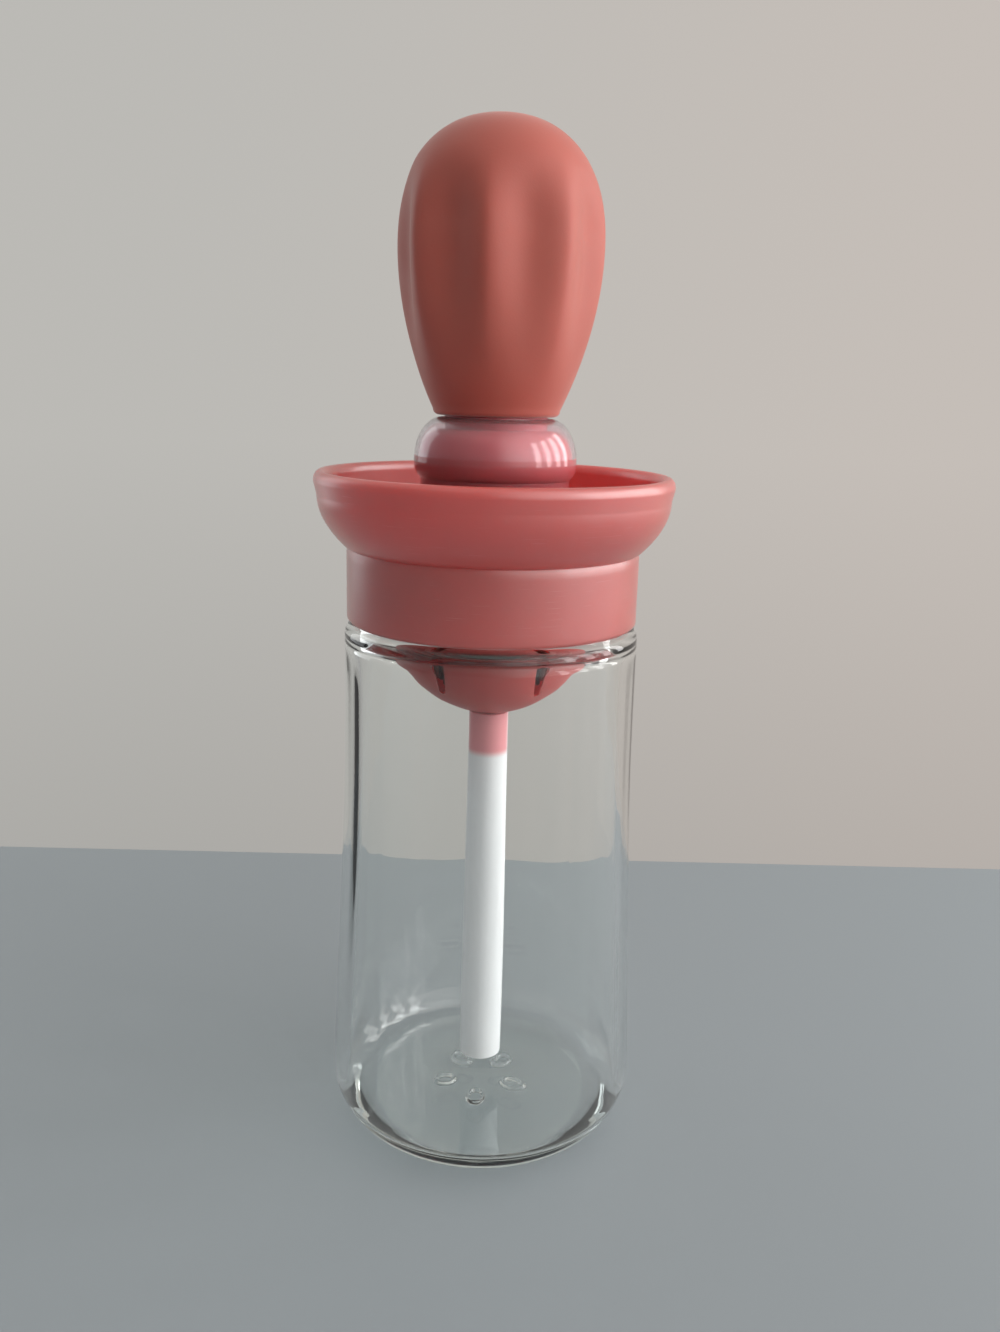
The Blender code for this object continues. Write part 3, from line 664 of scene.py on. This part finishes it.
def cap_outline():
    """Outline from the hole in the plate, round the collar, up the dish and back over the plate."""
    foot = plate_low.z
    lip_root = DISH_TOP - LIP_ROOT
    outer_root = DISH_RADIUS - LIP_FLARE
    inner_root = outer_root - DISH_WALL
    lip_half = (DISH_RADIUS - inner_root) / 2
    crease = PLATE_HEIGHT + CREASE_HEIGHT
    outline = run((CUP_HOLE, PLATE_HEIGHT), (COLLAR_BORE - COLLAR_FILLET, PLATE_HEIGHT), 3)
    outline += arc((COLLAR_BORE - COLLAR_FILLET, PLATE_HEIGHT - COLLAR_FILLET),
                   COLLAR_FILLET, 90, 0, 4)[1:]
    outline += run((COLLAR_BORE, PLATE_HEIGHT - 1.2 * COLLAR_FILLET),
                   (COLLAR_BORE, foot + 1.5 * SMALL_EDGE), 44)
    outline += arc((COLLAR_BORE + SMALL_EDGE, foot + SMALL_EDGE), SMALL_EDGE, 180, 270, 3)
    outline += arc((COLLAR_RADIUS - COLLAR_EDGE, foot + COLLAR_EDGE), COLLAR_EDGE, -90, 0, 8)
    outline += run((COLLAR_RADIUS, foot + 2 * COLLAR_EDGE),
                   (COLLAR_RADIUS, crease - CREASE_BLEND), 10)
    outline += [(COLLAR_RADIUS - CREASE_DEPTH / 2, crease - FINE_EDGE)]
    outline += [(COLLAR_RADIUS - CREASE_DEPTH, crease)]
    outline += dish_wall(crease, lip_root, COLLAR_RADIUS, outer_root, 24)[1:]
    outline += arc(((DISH_RADIUS + inner_root) / 2, DISH_TOP - LIP_HEIGHT),
                   (lip_half, LIP_HEIGHT), -8, 188, 20)
    inner = dish_wall(PLATE_HEIGHT + PLATE_THICKNESS, lip_root, COLLAR_RADIUS - DISH_WALL,
                      inner_root, 24)
    outline += inner[::-1]
    outline += run(inner[0], (CUP_HOLE, PLATE_HEIGHT + PLATE_THICKNESS), 4)[1:]
    return outline


def cap_thread(angle, radius, height):
    """How far the thread stands in from the collar's bore."""
    if abs(radius - COLLAR_BORE) > TINY or height > PLATE_HEIGHT - COLLAR_FILLET:
        return 0.0
    return -THREAD_DEPTH * thread_rise(angle, height, THREAD_MIDDLE - THREAD_BELOW)


cap = turned("cap_with_dish", cap_outline(), around(224))
push_out(cap, cap_thread)
cap_skin, cap_shader = skin_finish(
    "coral_plastic", CORAL, CORAL_DUST, roughness=0.38, cloud=0.035, dust=0.10, grain_scale=4200.0,
    grain_depth=0.000012, inside=0.85, spread=CORAL_SPREAD, scratches=0.30)
set_inputs(cap_shader, {"Specular IOR Level": 0.8, "Coat Weight": 0.85, "Coat Roughness": 0.30,
                        "Coat IOR": 1.70})
cap.data.materials.append(cap_skin)
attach(cap, "cap")
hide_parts("screw_cap")

# Brush cup
# The same coral plastic: a flanged cup that drops through the plate and hangs in the bottle. Oil
# drains through its four slots, and the nipple under its round bottom takes the straw.
GAP = 0.0003                # left between pieces that fit into each other
SHARP_EDGE = 0.0002
SOFT_EDGE = 0.0005
CUP_WALL = 0.0014
CUP_BORE = CUP_RADIUS - CUP_WALL
CUP_FLANGE_THICKNESS = 0.0013
CUP_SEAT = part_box("brush_cup")[1].z - CUP_FLANGE_THICKNESS
CUP_TUBE = 0.0176
BOWL_DEPTH = 0.0164
BOWL_POWER = 2.15
CUP_BOTTOM = CUP_SEAT - CUP_TUBE - BOWL_DEPTH
CUP_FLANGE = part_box("brush_cup")[1].x
SLOT_OFFSET = 0.0083
SLOT_WIDTH = 0.0024
SLOT_FOOT_WIDTH = 0.0012
SLOT_LENGTH = 0.0100
SLOT_BOTTOM = CUP_BOTTOM + 0.0056
NIPPLE_RADIUS = 0.0028
NIPPLE_BORE = 0.0016
NIPPLE_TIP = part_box("brush_cup")[0].z
NIPPLE_CHAMFER = (0.0004, 0.0009)
NOZZLE_RADIUS = 0.0031
SOCKET_BORE = NOZZLE_RADIUS + GAP
SOCKET_WALL = 0.0015
SOCKET_HEIGHT = 0.0045
CUP_CORAL_PAINTED_LIGHT = (0.560, 0.075, 0.066)       # painted light: the cap's coral made brighter and deeper
CUP_STEPS = 160


def bowl(across, depth, low_radius, count):
    """Rounded bowl from its rim in to a radius near the axis, in real heights."""
    points = []
    for i in range(count + 1):
        radius = low_radius + (across - low_radius) * math.cos(math.pi / 2 * i / count)
        sag = depth * max(0.0, 1 - (radius / across) ** BOWL_POWER) ** (1 / BOWL_POWER)
        points.append((radius, CUP_SEAT - CUP_TUBE - sag))
    return points


def cup_outline():
    """Outline from under the flange, over it, down inside to the nipple and back up the outside."""
    top = CUP_SEAT + CUP_FLANGE_THICKNESS
    tube_end = CUP_SEAT - CUP_TUBE + 2 * SOFT_EDGE
    floor = CUP_BOTTOM + CUP_WALL
    socket = SOCKET_BORE + SOCKET_WALL
    socket_top = floor + SOCKET_HEIGHT
    outline = [(CUP_RADIUS + SHARP_EDGE, CUP_SEAT)]
    outline += arc((CUP_FLANGE - FINE_EDGE, CUP_SEAT + FINE_EDGE), FINE_EDGE, -90, 0, 3)
    outline += arc((CUP_FLANGE - SOFT_EDGE, top - SOFT_EDGE), SOFT_EDGE, 0, 90, 4)
    outline += arc((CUP_BORE + SOFT_EDGE, top - SOFT_EDGE), SOFT_EDGE, 90, 180, 4)
    outline += run((CUP_BORE, top - 2 * SOFT_EDGE), (CUP_BORE, tube_end), 6)
    outline += bowl(CUP_BORE, BOWL_DEPTH - CUP_WALL, socket, 20)
    outline += [(socket, socket_top - FINE_EDGE), (socket - FINE_EDGE, socket_top)]
    outline += [(SOCKET_BORE + FINE_EDGE, socket_top), (SOCKET_BORE, socket_top - FINE_EDGE)]
    outline += [(SOCKET_BORE, floor), (NIPPLE_BORE, floor), (NIPPLE_BORE, NIPPLE_TIP + SHARP_EDGE)]
    outline += [(NIPPLE_BORE + SHARP_EDGE, NIPPLE_TIP)]
    outline += [(NIPPLE_RADIUS - NIPPLE_CHAMFER[0], NIPPLE_TIP)]
    outline += [(NIPPLE_RADIUS, NIPPLE_TIP + NIPPLE_CHAMFER[1])]
    outline += bowl(CUP_RADIUS, BOWL_DEPTH, NIPPLE_RADIUS, 28)[::-1]
    outline += run((CUP_RADIUS, tube_end), (CUP_RADIUS, CUP_SEAT - SHARP_EDGE), 6)
    return outline


def cut_slots(piece):
    """Cuts the drain slots: upright inside, narrower below, straight from front to back."""
    form = bmesh.new()
    top_half = SLOT_WIDTH / 2
    foot_half = SLOT_FOOT_WIDTH / 2
    outline = arc((SLOT_OFFSET + top_half, SLOT_BOTTOM + SLOT_LENGTH - top_half),
                  top_half, 180, 0, 10)
    outline += arc((SLOT_OFFSET + foot_half, SLOT_BOTTOM + foot_half), foot_half, 0, -180, 10)
    for side in (-1, 1):
        ends = []
        for reach in (-CUP_RADIUS, CUP_RADIUS):
            ends.append([form.verts.new((side * x, reach, z)) for x, z in outline])
        near, far = ends
        for j in range(len(outline)):
            form.faces.new((near[j - 1], near[j], far[j], far[j - 1]))
        form.faces.new(near)
        form.faces.new(far)
    bmesh.ops.recalc_face_normals(form, faces=form.faces)
    cutter = from_form("slot_cutter", form)
    change = piece.modifiers.new("slots", "BOOLEAN")
    change.operation = "DIFFERENCE"
    change.object = cutter
    evaluated = piece.evaluated_get(bpy.context.evaluated_depsgraph_get())
    cut = bpy.data.meshes.new_from_object(evaluated)
    piece.modifiers.clear()
    piece.data = cut
    bpy.data.objects.remove(cutter)
    cut.set_sharp_from_angle(angle=CRISP_TURN)


cup = turned("drain_cup", cup_outline(), around(CUP_STEPS, math.pi / CUP_STEPS))
cut_slots(cup)
cup.data.materials.append(skin_finish(
    "coral_plastic_cup", CUP_CORAL_PAINTED_LIGHT, CORAL_DUST, roughness=0.42, cloud=0.035, dust=0.04,
    grain_scale=4200.0, grain_depth=0.000012, inside=0.90, spread=CORAL_SPREAD)[0])
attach(cup, "cap")
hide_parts("brush_cup")

# Dip straw
# Milky soft polyethylene tube, extruded and cut square. It is pushed over the nipple, which shows
# through it, and ends just above the glass floor.
STRAW_WALL = 0.00105
STRAW_BORE = NIPPLE_RADIUS + GAP
STRAW_RADIUS = STRAW_BORE + STRAW_WALL
PRESS = 0.00002             # how far soft walls press into each other, with no air between them
STRAW_GRIP = NIPPLE_RADIUS - PRESS
GRIP_END = 0.0008           # heights about the nipple's tip, between which the bore widens
GRIP_EASE = 0.0003
GRIP_FOOT = -0.0006
GRIP_STEP = 0.0001
PINK_FOOT = -0.0010         # and where the pink from the nipple ends
MILKY_STREAKS = (900.0, 900.0, 25.0)    # fine lines along the tube
MILKY = (0.93, 0.94, 0.95)
MILKY_OVER_NIPPLE = (0.85, 0.36, 0.38)  # stretched thin there, so that the pink comes through
MILKY_AT_EDGE = (0.92, 0.72, 0.74)      # and less of it where the eye looks along the wall
straw_low, straw_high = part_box("dip_straw")


def straw_outline():
    """Outline up the outside and down the bore, tight over the nipple and wider below it."""
    foot = straw_low.z + SHARP_EDGE
    top = straw_high.z - SHARP_EDGE
    outline = arc((STRAW_RADIUS - SHARP_EDGE, foot), SHARP_EDGE, -90, 0, 4)
    outline += arc((STRAW_RADIUS - SHARP_EDGE, top), SHARP_EDGE, 0, 90, 4)
    outline += arc((STRAW_GRIP + SHARP_EDGE, top), SHARP_EDGE, 90, 180, 4)
    outline += [(STRAW_GRIP, NIPPLE_TIP + GRIP_END)]
    outline += [(STRAW_GRIP + GRIP_STEP, NIPPLE_TIP + GRIP_EASE)]
    outline += [(STRAW_BORE, NIPPLE_TIP + GRIP_FOOT)]
    outline += arc((STRAW_BORE + SHARP_EDGE, foot), SHARP_EDGE, 180, 270, 4)
    return outline


straw = turned("straw_tube", straw_outline(), around(64))
milky, milky_tree, milky_shader = clear_finish("milky_plastic", MILKY, roughness=0.25, ior=1.30,
                                               transmission=0.12)
milky_place = add_node(milky_tree, "ShaderNodeTexCoord").outputs["Object"]
milky_lines = noise_value(milky_tree, multiplied(milky_tree, milky_place, MILKY_STREAKS), 1.0, 2.0)
milky_rough = add_node(milky_tree, "ShaderNodeMapRange",
                       {"Value": milky_lines, "To Min": 0.20, "To Max": 0.30})
milky_bump = add_node(milky_tree, "ShaderNodeBump", {"Height": milky_lines, "Distance": 0.00003})
milky_height = add_node(milky_tree, "ShaderNodeSeparateXYZ", {"Vector": milky_place}).outputs["Z"]
milky_over = ramp(milky_tree, milky_height, (NIPPLE_TIP + PINK_FOOT, NIPPLE_TIP + GRIP_END))
milky_edge = add_node(milky_tree, "ShaderNodeLayerWeight", {"Blend": 0.5}).outputs["Facing"]
milky_pink = blend_colours(milky_tree, ramp(milky_tree, milky_edge, (0.45, 1.0)),
                           opaque(MILKY_OVER_NIPPLE), opaque(MILKY_AT_EDGE))
milky_colour = blend_colours(milky_tree, milky_over, opaque(MILKY), milky_pink)
set_inputs(milky_shader, {"Base Color": milky_colour, "Roughness": milky_rough.outputs[0],
                          "Normal": milky_bump.outputs[0]})
straw.data.materials.append(milky)
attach(straw, "cap")
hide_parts("dip_straw")

# Oil chamber
# Clear glossy plastic, moulded like a small jar upside down: a skirt that slides in the cup, a
# flange that rests on it, and a dome that bulges over the waist, with a hole for the bulb on top.
CHAMBER_PLAY = 0.0014       # the skirt is this much smaller than the bore of the cup
CHAMBER_WALL = 0.0016
CHAMBER_RADIUS = CUP_BORE - CHAMBER_PLAY
CHAMBER_BORE = CHAMBER_RADIUS - CHAMBER_WALL
chamber_low, chamber_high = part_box("oil_chamber")
FLANGE_RADIUS = chamber_high.x
FLANGE_THICKNESS = 0.0013
DOME_HEIGHT = 0.0215
CHAMBER_SEAT = chamber_high.z - DOME_HEIGHT
DOME_THICKNESS = 0.0008
DOME_BORE = CHAMBER_RADIUS - DOME_THICKNESS
WAIST_DEPTH = 0.0013
WAIST = CHAMBER_RADIUS - WAIST_DEPTH
WAIST_BORE = CHAMBER_BORE - WAIST_DEPTH
DOME_BEAD = 0.0030
DOME_CORNER = (0.0054, 0.0082)
DOME_SPRING = CHAMBER_SEAT + DOME_HEIGHT - DOME_CORNER[1]
DOME_HOLE = 0.0100
DOME_HOLE_LAND = 0.0003
DOME_INNER_CORNER = (DOME_BORE - DOME_HOLE - DOME_HOLE_LAND, DOME_CORNER[1] - DOME_THICKNESS)
CHAMBER_TINT = (0.96, 0.88, 0.92)


def chamber_outline():
    """Outline from the skirt's foot, up the outside, over the dome to its hole, and down inside."""
    foot = chamber_low.z
    seat = CHAMBER_SEAT
    spring = DOME_SPRING
    top = seat + DOME_HEIGHT
    under = top - DOME_THICKNESS
    ledge = seat + FLANGE_THICKNESS
    outline = arc((CHAMBER_BORE + SMALL_EDGE, foot + SMALL_EDGE), SMALL_EDGE, 180, 270, 3)
    outline += arc((CHAMBER_RADIUS - SMALL_EDGE, foot + SMALL_EDGE), SMALL_EDGE, -90, 0, 3)
    outline += run((CHAMBER_RADIUS, foot + 2 * SOFT_EDGE), (CHAMBER_RADIUS, seat), 6)
    outline += arc((FLANGE_RADIUS - FINE_EDGE, seat + FINE_EDGE), FINE_EDGE, -90, 0, 3)
    outline += arc((FLANGE_RADIUS - SOFT_EDGE, ledge - SOFT_EDGE), SOFT_EDGE, 0, 90, 4)
    outline += arc((WAIST + SOFT_EDGE, ledge + SOFT_EDGE), SOFT_EDGE, 270, 180, 4)
    outline += run((WAIST, ledge + 2 * SOFT_EDGE), (WAIST, spring - DOME_BEAD - FINE_EDGE), 6)
    outline += arc((WAIST, spring), (CHAMBER_RADIUS - WAIST, DOME_BEAD), -70, 0, 12)
    outline += arc((CHAMBER_RADIUS - DOME_CORNER[0], spring), DOME_CORNER, 4, 90, 24)
    outline += arc((DOME_HOLE + SHARP_EDGE, top - SHARP_EDGE), SHARP_EDGE, 100, 180, 3)
    outline += [(DOME_HOLE, under + SHARP_EDGE), (DOME_HOLE + SHARP_EDGE, under)]
    outline += arc((DOME_BORE - DOME_INNER_CORNER[0], spring), DOME_INNER_CORNER, 90, 0, 20)
    outline += arc((WAIST_BORE, spring), (DOME_BORE - WAIST_BORE, DOME_BEAD), -6, -70, 11)
    outline += run((WAIST_BORE, spring - DOME_BEAD - FINE_EDGE), (WAIST_BORE, ledge), 6)
    outline += run((CHAMBER_BORE, seat), (CHAMBER_BORE, foot + 2 * SOFT_EDGE), 6)
    return outline


chamber = turned("chamber_shell", chamber_outline(), around(160))
chamber.data.materials.append(clear_finish("clear_plastic", CHAMBER_TINT, roughness=0.09, ior=1.49,
                                           transmission=0.965)[0])
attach(chamber, "head")
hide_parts("oil_chamber")

# Brush head
# Soft coral silicone in one moulding: a plug in the chamber's foot with a funnel in it, a disc,
# a hollow nozzle that picks up the oil and three rings of thick bristles.
BRUSH_DISC = 0.0022
BRUSH_PLUG_HEIGHT = 0.0050
BRUSH_PLUG_RIM = 0.0018
BRUSH_FUNNEL = 0.0020
BRUSH_DISC_EDGE = 0.0011
NOZZLE_BORE = 0.0014
NOZZLE_ROUNDING = 0.0006
BRUSH_SEAT = chamber_low.z - GAP
BRUSH_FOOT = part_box("brush_head")[0].z
BRISTLE_RINGS = ((0.0066, 9), (0.0098, 13), (0.0130, 18))
BRISTLE_ROOT = 0.00085
BRISTLE_TIP = 0.00045
BRISTLE_TIP_GAP = 0.0014
BRISTLE_SIDES = 12
SILICONE = (0.485, 0.106, 0.076)
SILICONE_DUST = (0.68, 0.32, 0.28)
SILICONE_BLOOM = (0.95, 0.80, 0.76)     # pale bloom where the eye looks along the surface


def brush_outline():
    """Outline down the nozzle's bore, up its outside, round the disc and the plug to the funnel."""
    plug = CHAMBER_BORE - GAP
    plug_top = BRUSH_SEAT + BRUSH_PLUG_HEIGHT
    under = BRUSH_SEAT - BRUSH_DISC
    root = under - NOZZLE_ROUNDING
    outline = run((NOZZLE_BORE, plug_top - BRUSH_FUNNEL), (NOZZLE_BORE, BRUSH_FOOT + SHARP_EDGE), 8)
    outline += [(NOZZLE_BORE + SHARP_EDGE, BRUSH_FOOT)]
    outline += arc((NOZZLE_RADIUS - NOZZLE_ROUNDING, BRUSH_FOOT + NOZZLE_ROUNDING),
                   NOZZLE_ROUNDING, -90, 0, 4)
    outline += run((NOZZLE_RADIUS, BRUSH_FOOT + 2 * SOFT_EDGE), (NOZZLE_RADIUS, root), 8)
    outline += arc((NOZZLE_RADIUS + NOZZLE_ROUNDING, root), NOZZLE_ROUNDING, 180, 90, 4)
    outline += arc((CHAMBER_RADIUS - BRUSH_DISC_EDGE, under + BRUSH_DISC_EDGE),
                   BRUSH_DISC_EDGE, -90, 0, 6)
    outline += [(CHAMBER_RADIUS, BRUSH_SEAT), (plug, BRUSH_SEAT), (plug, plug_top - SOFT_EDGE)]
    outline += [(plug - SOFT_EDGE, plug_top), (plug - BRUSH_PLUG_RIM, plug_top)]
    return outline


def bristle_mesh():
    """Tapered round-tipped bristles in rings, their tips following the bowl of the cup."""
    form = bmesh.new()
    root_height = BRUSH_SEAT - BRUSH_DISC / 2
    for ring, (radius, count) in enumerate(BRISTLE_RINGS):
        reach = radius + BRISTLE_TIP
        sag = (BOWL_DEPTH - CUP_WALL) * (1 - (reach / CUP_BORE) ** BOWL_POWER) ** (1 / BOWL_POWER)
        tip = CUP_SEAT - CUP_TUBE - sag + BRISTLE_TIP_GAP
        levels = run((BRISTLE_ROOT, root_height), (BRISTLE_TIP, tip + BRISTLE_TIP), 6)
        levels += arc((0.0, tip + BRISTLE_TIP), BRISTLE_TIP, -20, -75, 3)
        for k in range(count):
            angle = math.tau * (k + ring / 2) / count
            centre = Vector((radius * math.cos(angle), radius * math.sin(angle), 0.0))
            rings = []
            for size, height in levels:
                points = [Vector((size * math.cos(a), size * math.sin(a), height))
                          for a in around(BRISTLE_SIDES)]
                rings.append([form.verts.new(centre + point) for point in points])
            for upper, lower in zip(rings, rings[1:]):
                for side in range(BRISTLE_SIDES):
                    form.faces.new((upper[side - 1], upper[side], lower[side], lower[side - 1]))
            form.faces.new(rings[0])
            form.faces.new(rings[-1])
    bmesh.ops.recalc_face_normals(form, faces=form.faces)
    return from_form("brush_bristles", form)


silicone_skin, silicone_shader = skin_finish(
    "coral_silicone", SILICONE, SILICONE_DUST, roughness=0.55, cloud=0.03, dust=0.08,
    grain_scale=3200.0, grain_depth=0.000014, inside=0.35, spread=(0.0035, 0.0010, 0.0008))
set_inputs(silicone_shader, {"Sheen Weight": 0.38, "Sheen Roughness": 0.45,
                             "Sheen Tint": opaque(SILICONE_BLOOM)})
brush_body = turned("brush_body", brush_outline(), around(96))
for piece in (brush_body, bristle_mesh()):
    piece.data.materials.append(silicone_skin)
    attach(piece, "head")
    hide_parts("brush_head")

# Squeeze bulb
# Hollow coral silicone with eight soft flutes for the fingers. Its neck passes through the dome and
# widens below into a plug, which snaps under the shoulder and shows through the clear plastic.
bulb_low, bulb_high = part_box("squeeze_bulb")
BULB_SEAT = chamber_high.z + GAP
BULB_HEIGHT = bulb_high.z - BULB_SEAT
BULB_RADIUS = 0.0192
BULB_WIDEST = 0.0300
BULB_WAIST = 0.0077
BULB_WAIST_POWER = 1.9
BULB_EDGE = 0.0012
BULB_POWER = 2.3
BULB_WALL = 0.0024
BULB_INNER_FILLET = 0.0010
BULB_NECK = DOME_HOLE - GAP
FLUTE_COUNT = 8
FLUTE_DEPTH = 0.0022
FLUTE_SHARPNESS = 0.82
FLUTE_PHASE = math.radians(-7.0)
FLUTE_LOW = 0.0030
FLUTE_FULL_LOW = 0.0290
FLUTE_FULL_HIGH = 0.0325
FLUTE_HIGH = 0.0455
PLUG_WALL = 0.0022
PLUG_RADIUS = DOME_BORE + PRESS
PLUG_SKIRT = WAIST_BORE + PRESS
PLUG_CORNER_HEIGHT = 0.0060
PLUG_INNER_CORNER = 0.0024
PLUG_LAND = 0.0002
PLUG_SPLIT = 0.00005        # the bulb's two pieces stay this far apart, at its seat
PLUG_COLOUR_PAINTED_LIGHT = (0.560, 0.085, 0.092)     # painted light: the bulb's silicone made lighter and pinker


def bulb_radius(height, inset=0.0):
    """Radius of the bulb over its ridges at a height over its seat."""
    widest = BULB_RADIUS - inset
    if height > BULB_WIDEST:
        up = (height - BULB_WIDEST) / (BULB_HEIGHT - inset - BULB_WIDEST)
        return widest * max(0.0, 1 - up ** BULB_POWER) ** (1 / BULB_POWER)
    return widest - BULB_WAIST * ((BULB_WIDEST - height) / BULB_WIDEST) ** BULB_WAIST_POWER


def bulb_side(low, inset, count):
    """Points up the side of the bulb to its pole, closer together near the top."""
    high = BULB_HEIGHT - inset
    points = []
    for i in range(count):
        height = low + (high - low) * math.sin(math.pi / 2 * i / count)
        points.append((bulb_radius(height, inset), BULB_SEAT + height))
    return points + [(0.0, BULB_SEAT + high)]


def bulb_outline():
    """Outline from the foot up the outside to the pole, down inside to the neck, round the foot."""
    foot = bulb_radius(BULB_EDGE) - BULB_EDGE
    bore = BULB_NECK - PLUG_WALL
    outline = bulb_side(BULB_EDGE, 0.0, 90)
    outline += bulb_side(BULB_EDGE + BULB_WALL, BULB_WALL, 40)[::-1]
    outline += arc((bore + BULB_INNER_FILLET, BULB_SEAT + BULB_WALL - BULB_INNER_FILLET),
                   BULB_INNER_FILLET, 90, 180, 4)
    outline += [(bore, BULB_SEAT), (BULB_NECK, BULB_SEAT)]
    outline += arc((foot, BULB_SEAT + BULB_EDGE), BULB_EDGE, -90, -22, 10)
    return outline


def plug_outline():
    """Outline from the neck down the inside to the skirt's foot, and up the outside to the neck."""
    bore = BULB_NECK - PLUG_WALL
    top = BULB_SEAT - PLUG_SPLIT
    spring = DOME_SPRING
    ceiling = spring + PLUG_CORNER_HEIGHT
    foot = bulb_low.z
    inner = PLUG_SKIRT - PLUG_WALL
    corner = PLUG_RADIUS - BULB_NECK - PLUG_LAND
    outline = [(bore, top), (bore, ceiling - PLUG_WALL)]
    outline += arc((inner - PLUG_INNER_CORNER, spring - PLUG_WALL),
                   (PLUG_INNER_CORNER, PLUG_CORNER_HEIGHT), 90, 0, 10)
    outline += arc((inner + SOFT_EDGE, foot + SOFT_EDGE), SOFT_EDGE, 180, 270, 3)
    outline += arc((PLUG_SKIRT - SOFT_EDGE, foot + SOFT_EDGE), SOFT_EDGE, -90, 0, 3)
    outline += arc((PLUG_SKIRT, spring), (PLUG_RADIUS - PLUG_SKIRT, DOME_BEAD), -70, 0, 11)
    outline += arc((PLUG_RADIUS - corner, spring), (corner, PLUG_CORNER_HEIGHT), 6, 90, 20)
    outline += [(BULB_NECK, ceiling), (BULB_NECK, top)]
    return outline


def flute(angle, radius, height):
    """How far the flutes draw the surface in at an angle and a height."""
    level = height - BULB_SEAT
    rise = (level - FLUTE_LOW) / (FLUTE_FULL_LOW - FLUTE_LOW)
    fall = (FLUTE_HIGH - level) / (FLUTE_HIGH - FLUTE_FULL_HIGH)
    wave = (0.5 - 0.5 * math.cos(FLUTE_COUNT * (angle - FLUTE_PHASE))) ** FLUTE_SHARPNESS
    return -FLUTE_DEPTH * smooth_step(rise) * smooth_step(fall) * wave


bulb = turned("bulb_body", bulb_outline(), around(240))
push_out(bulb, flute)
plug = turned("bulb_plug", plug_outline(), around(160))
bulb.data.materials.append(silicone_skin)
plug.data.materials.append(skin_finish(
    "coral_silicone_plug", PLUG_COLOUR_PAINTED_LIGHT, SILICONE_DUST, roughness=0.45, cloud=0.03, dust=0.0,
    grain_scale=3200.0, grain_depth=0.000010, inside=0.90, spread=(0.0060, 0.0018, 0.0018))[0])
for piece in (bulb, plug):
    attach(piece, "head")
    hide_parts("squeeze_bulb")
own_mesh(bulb)
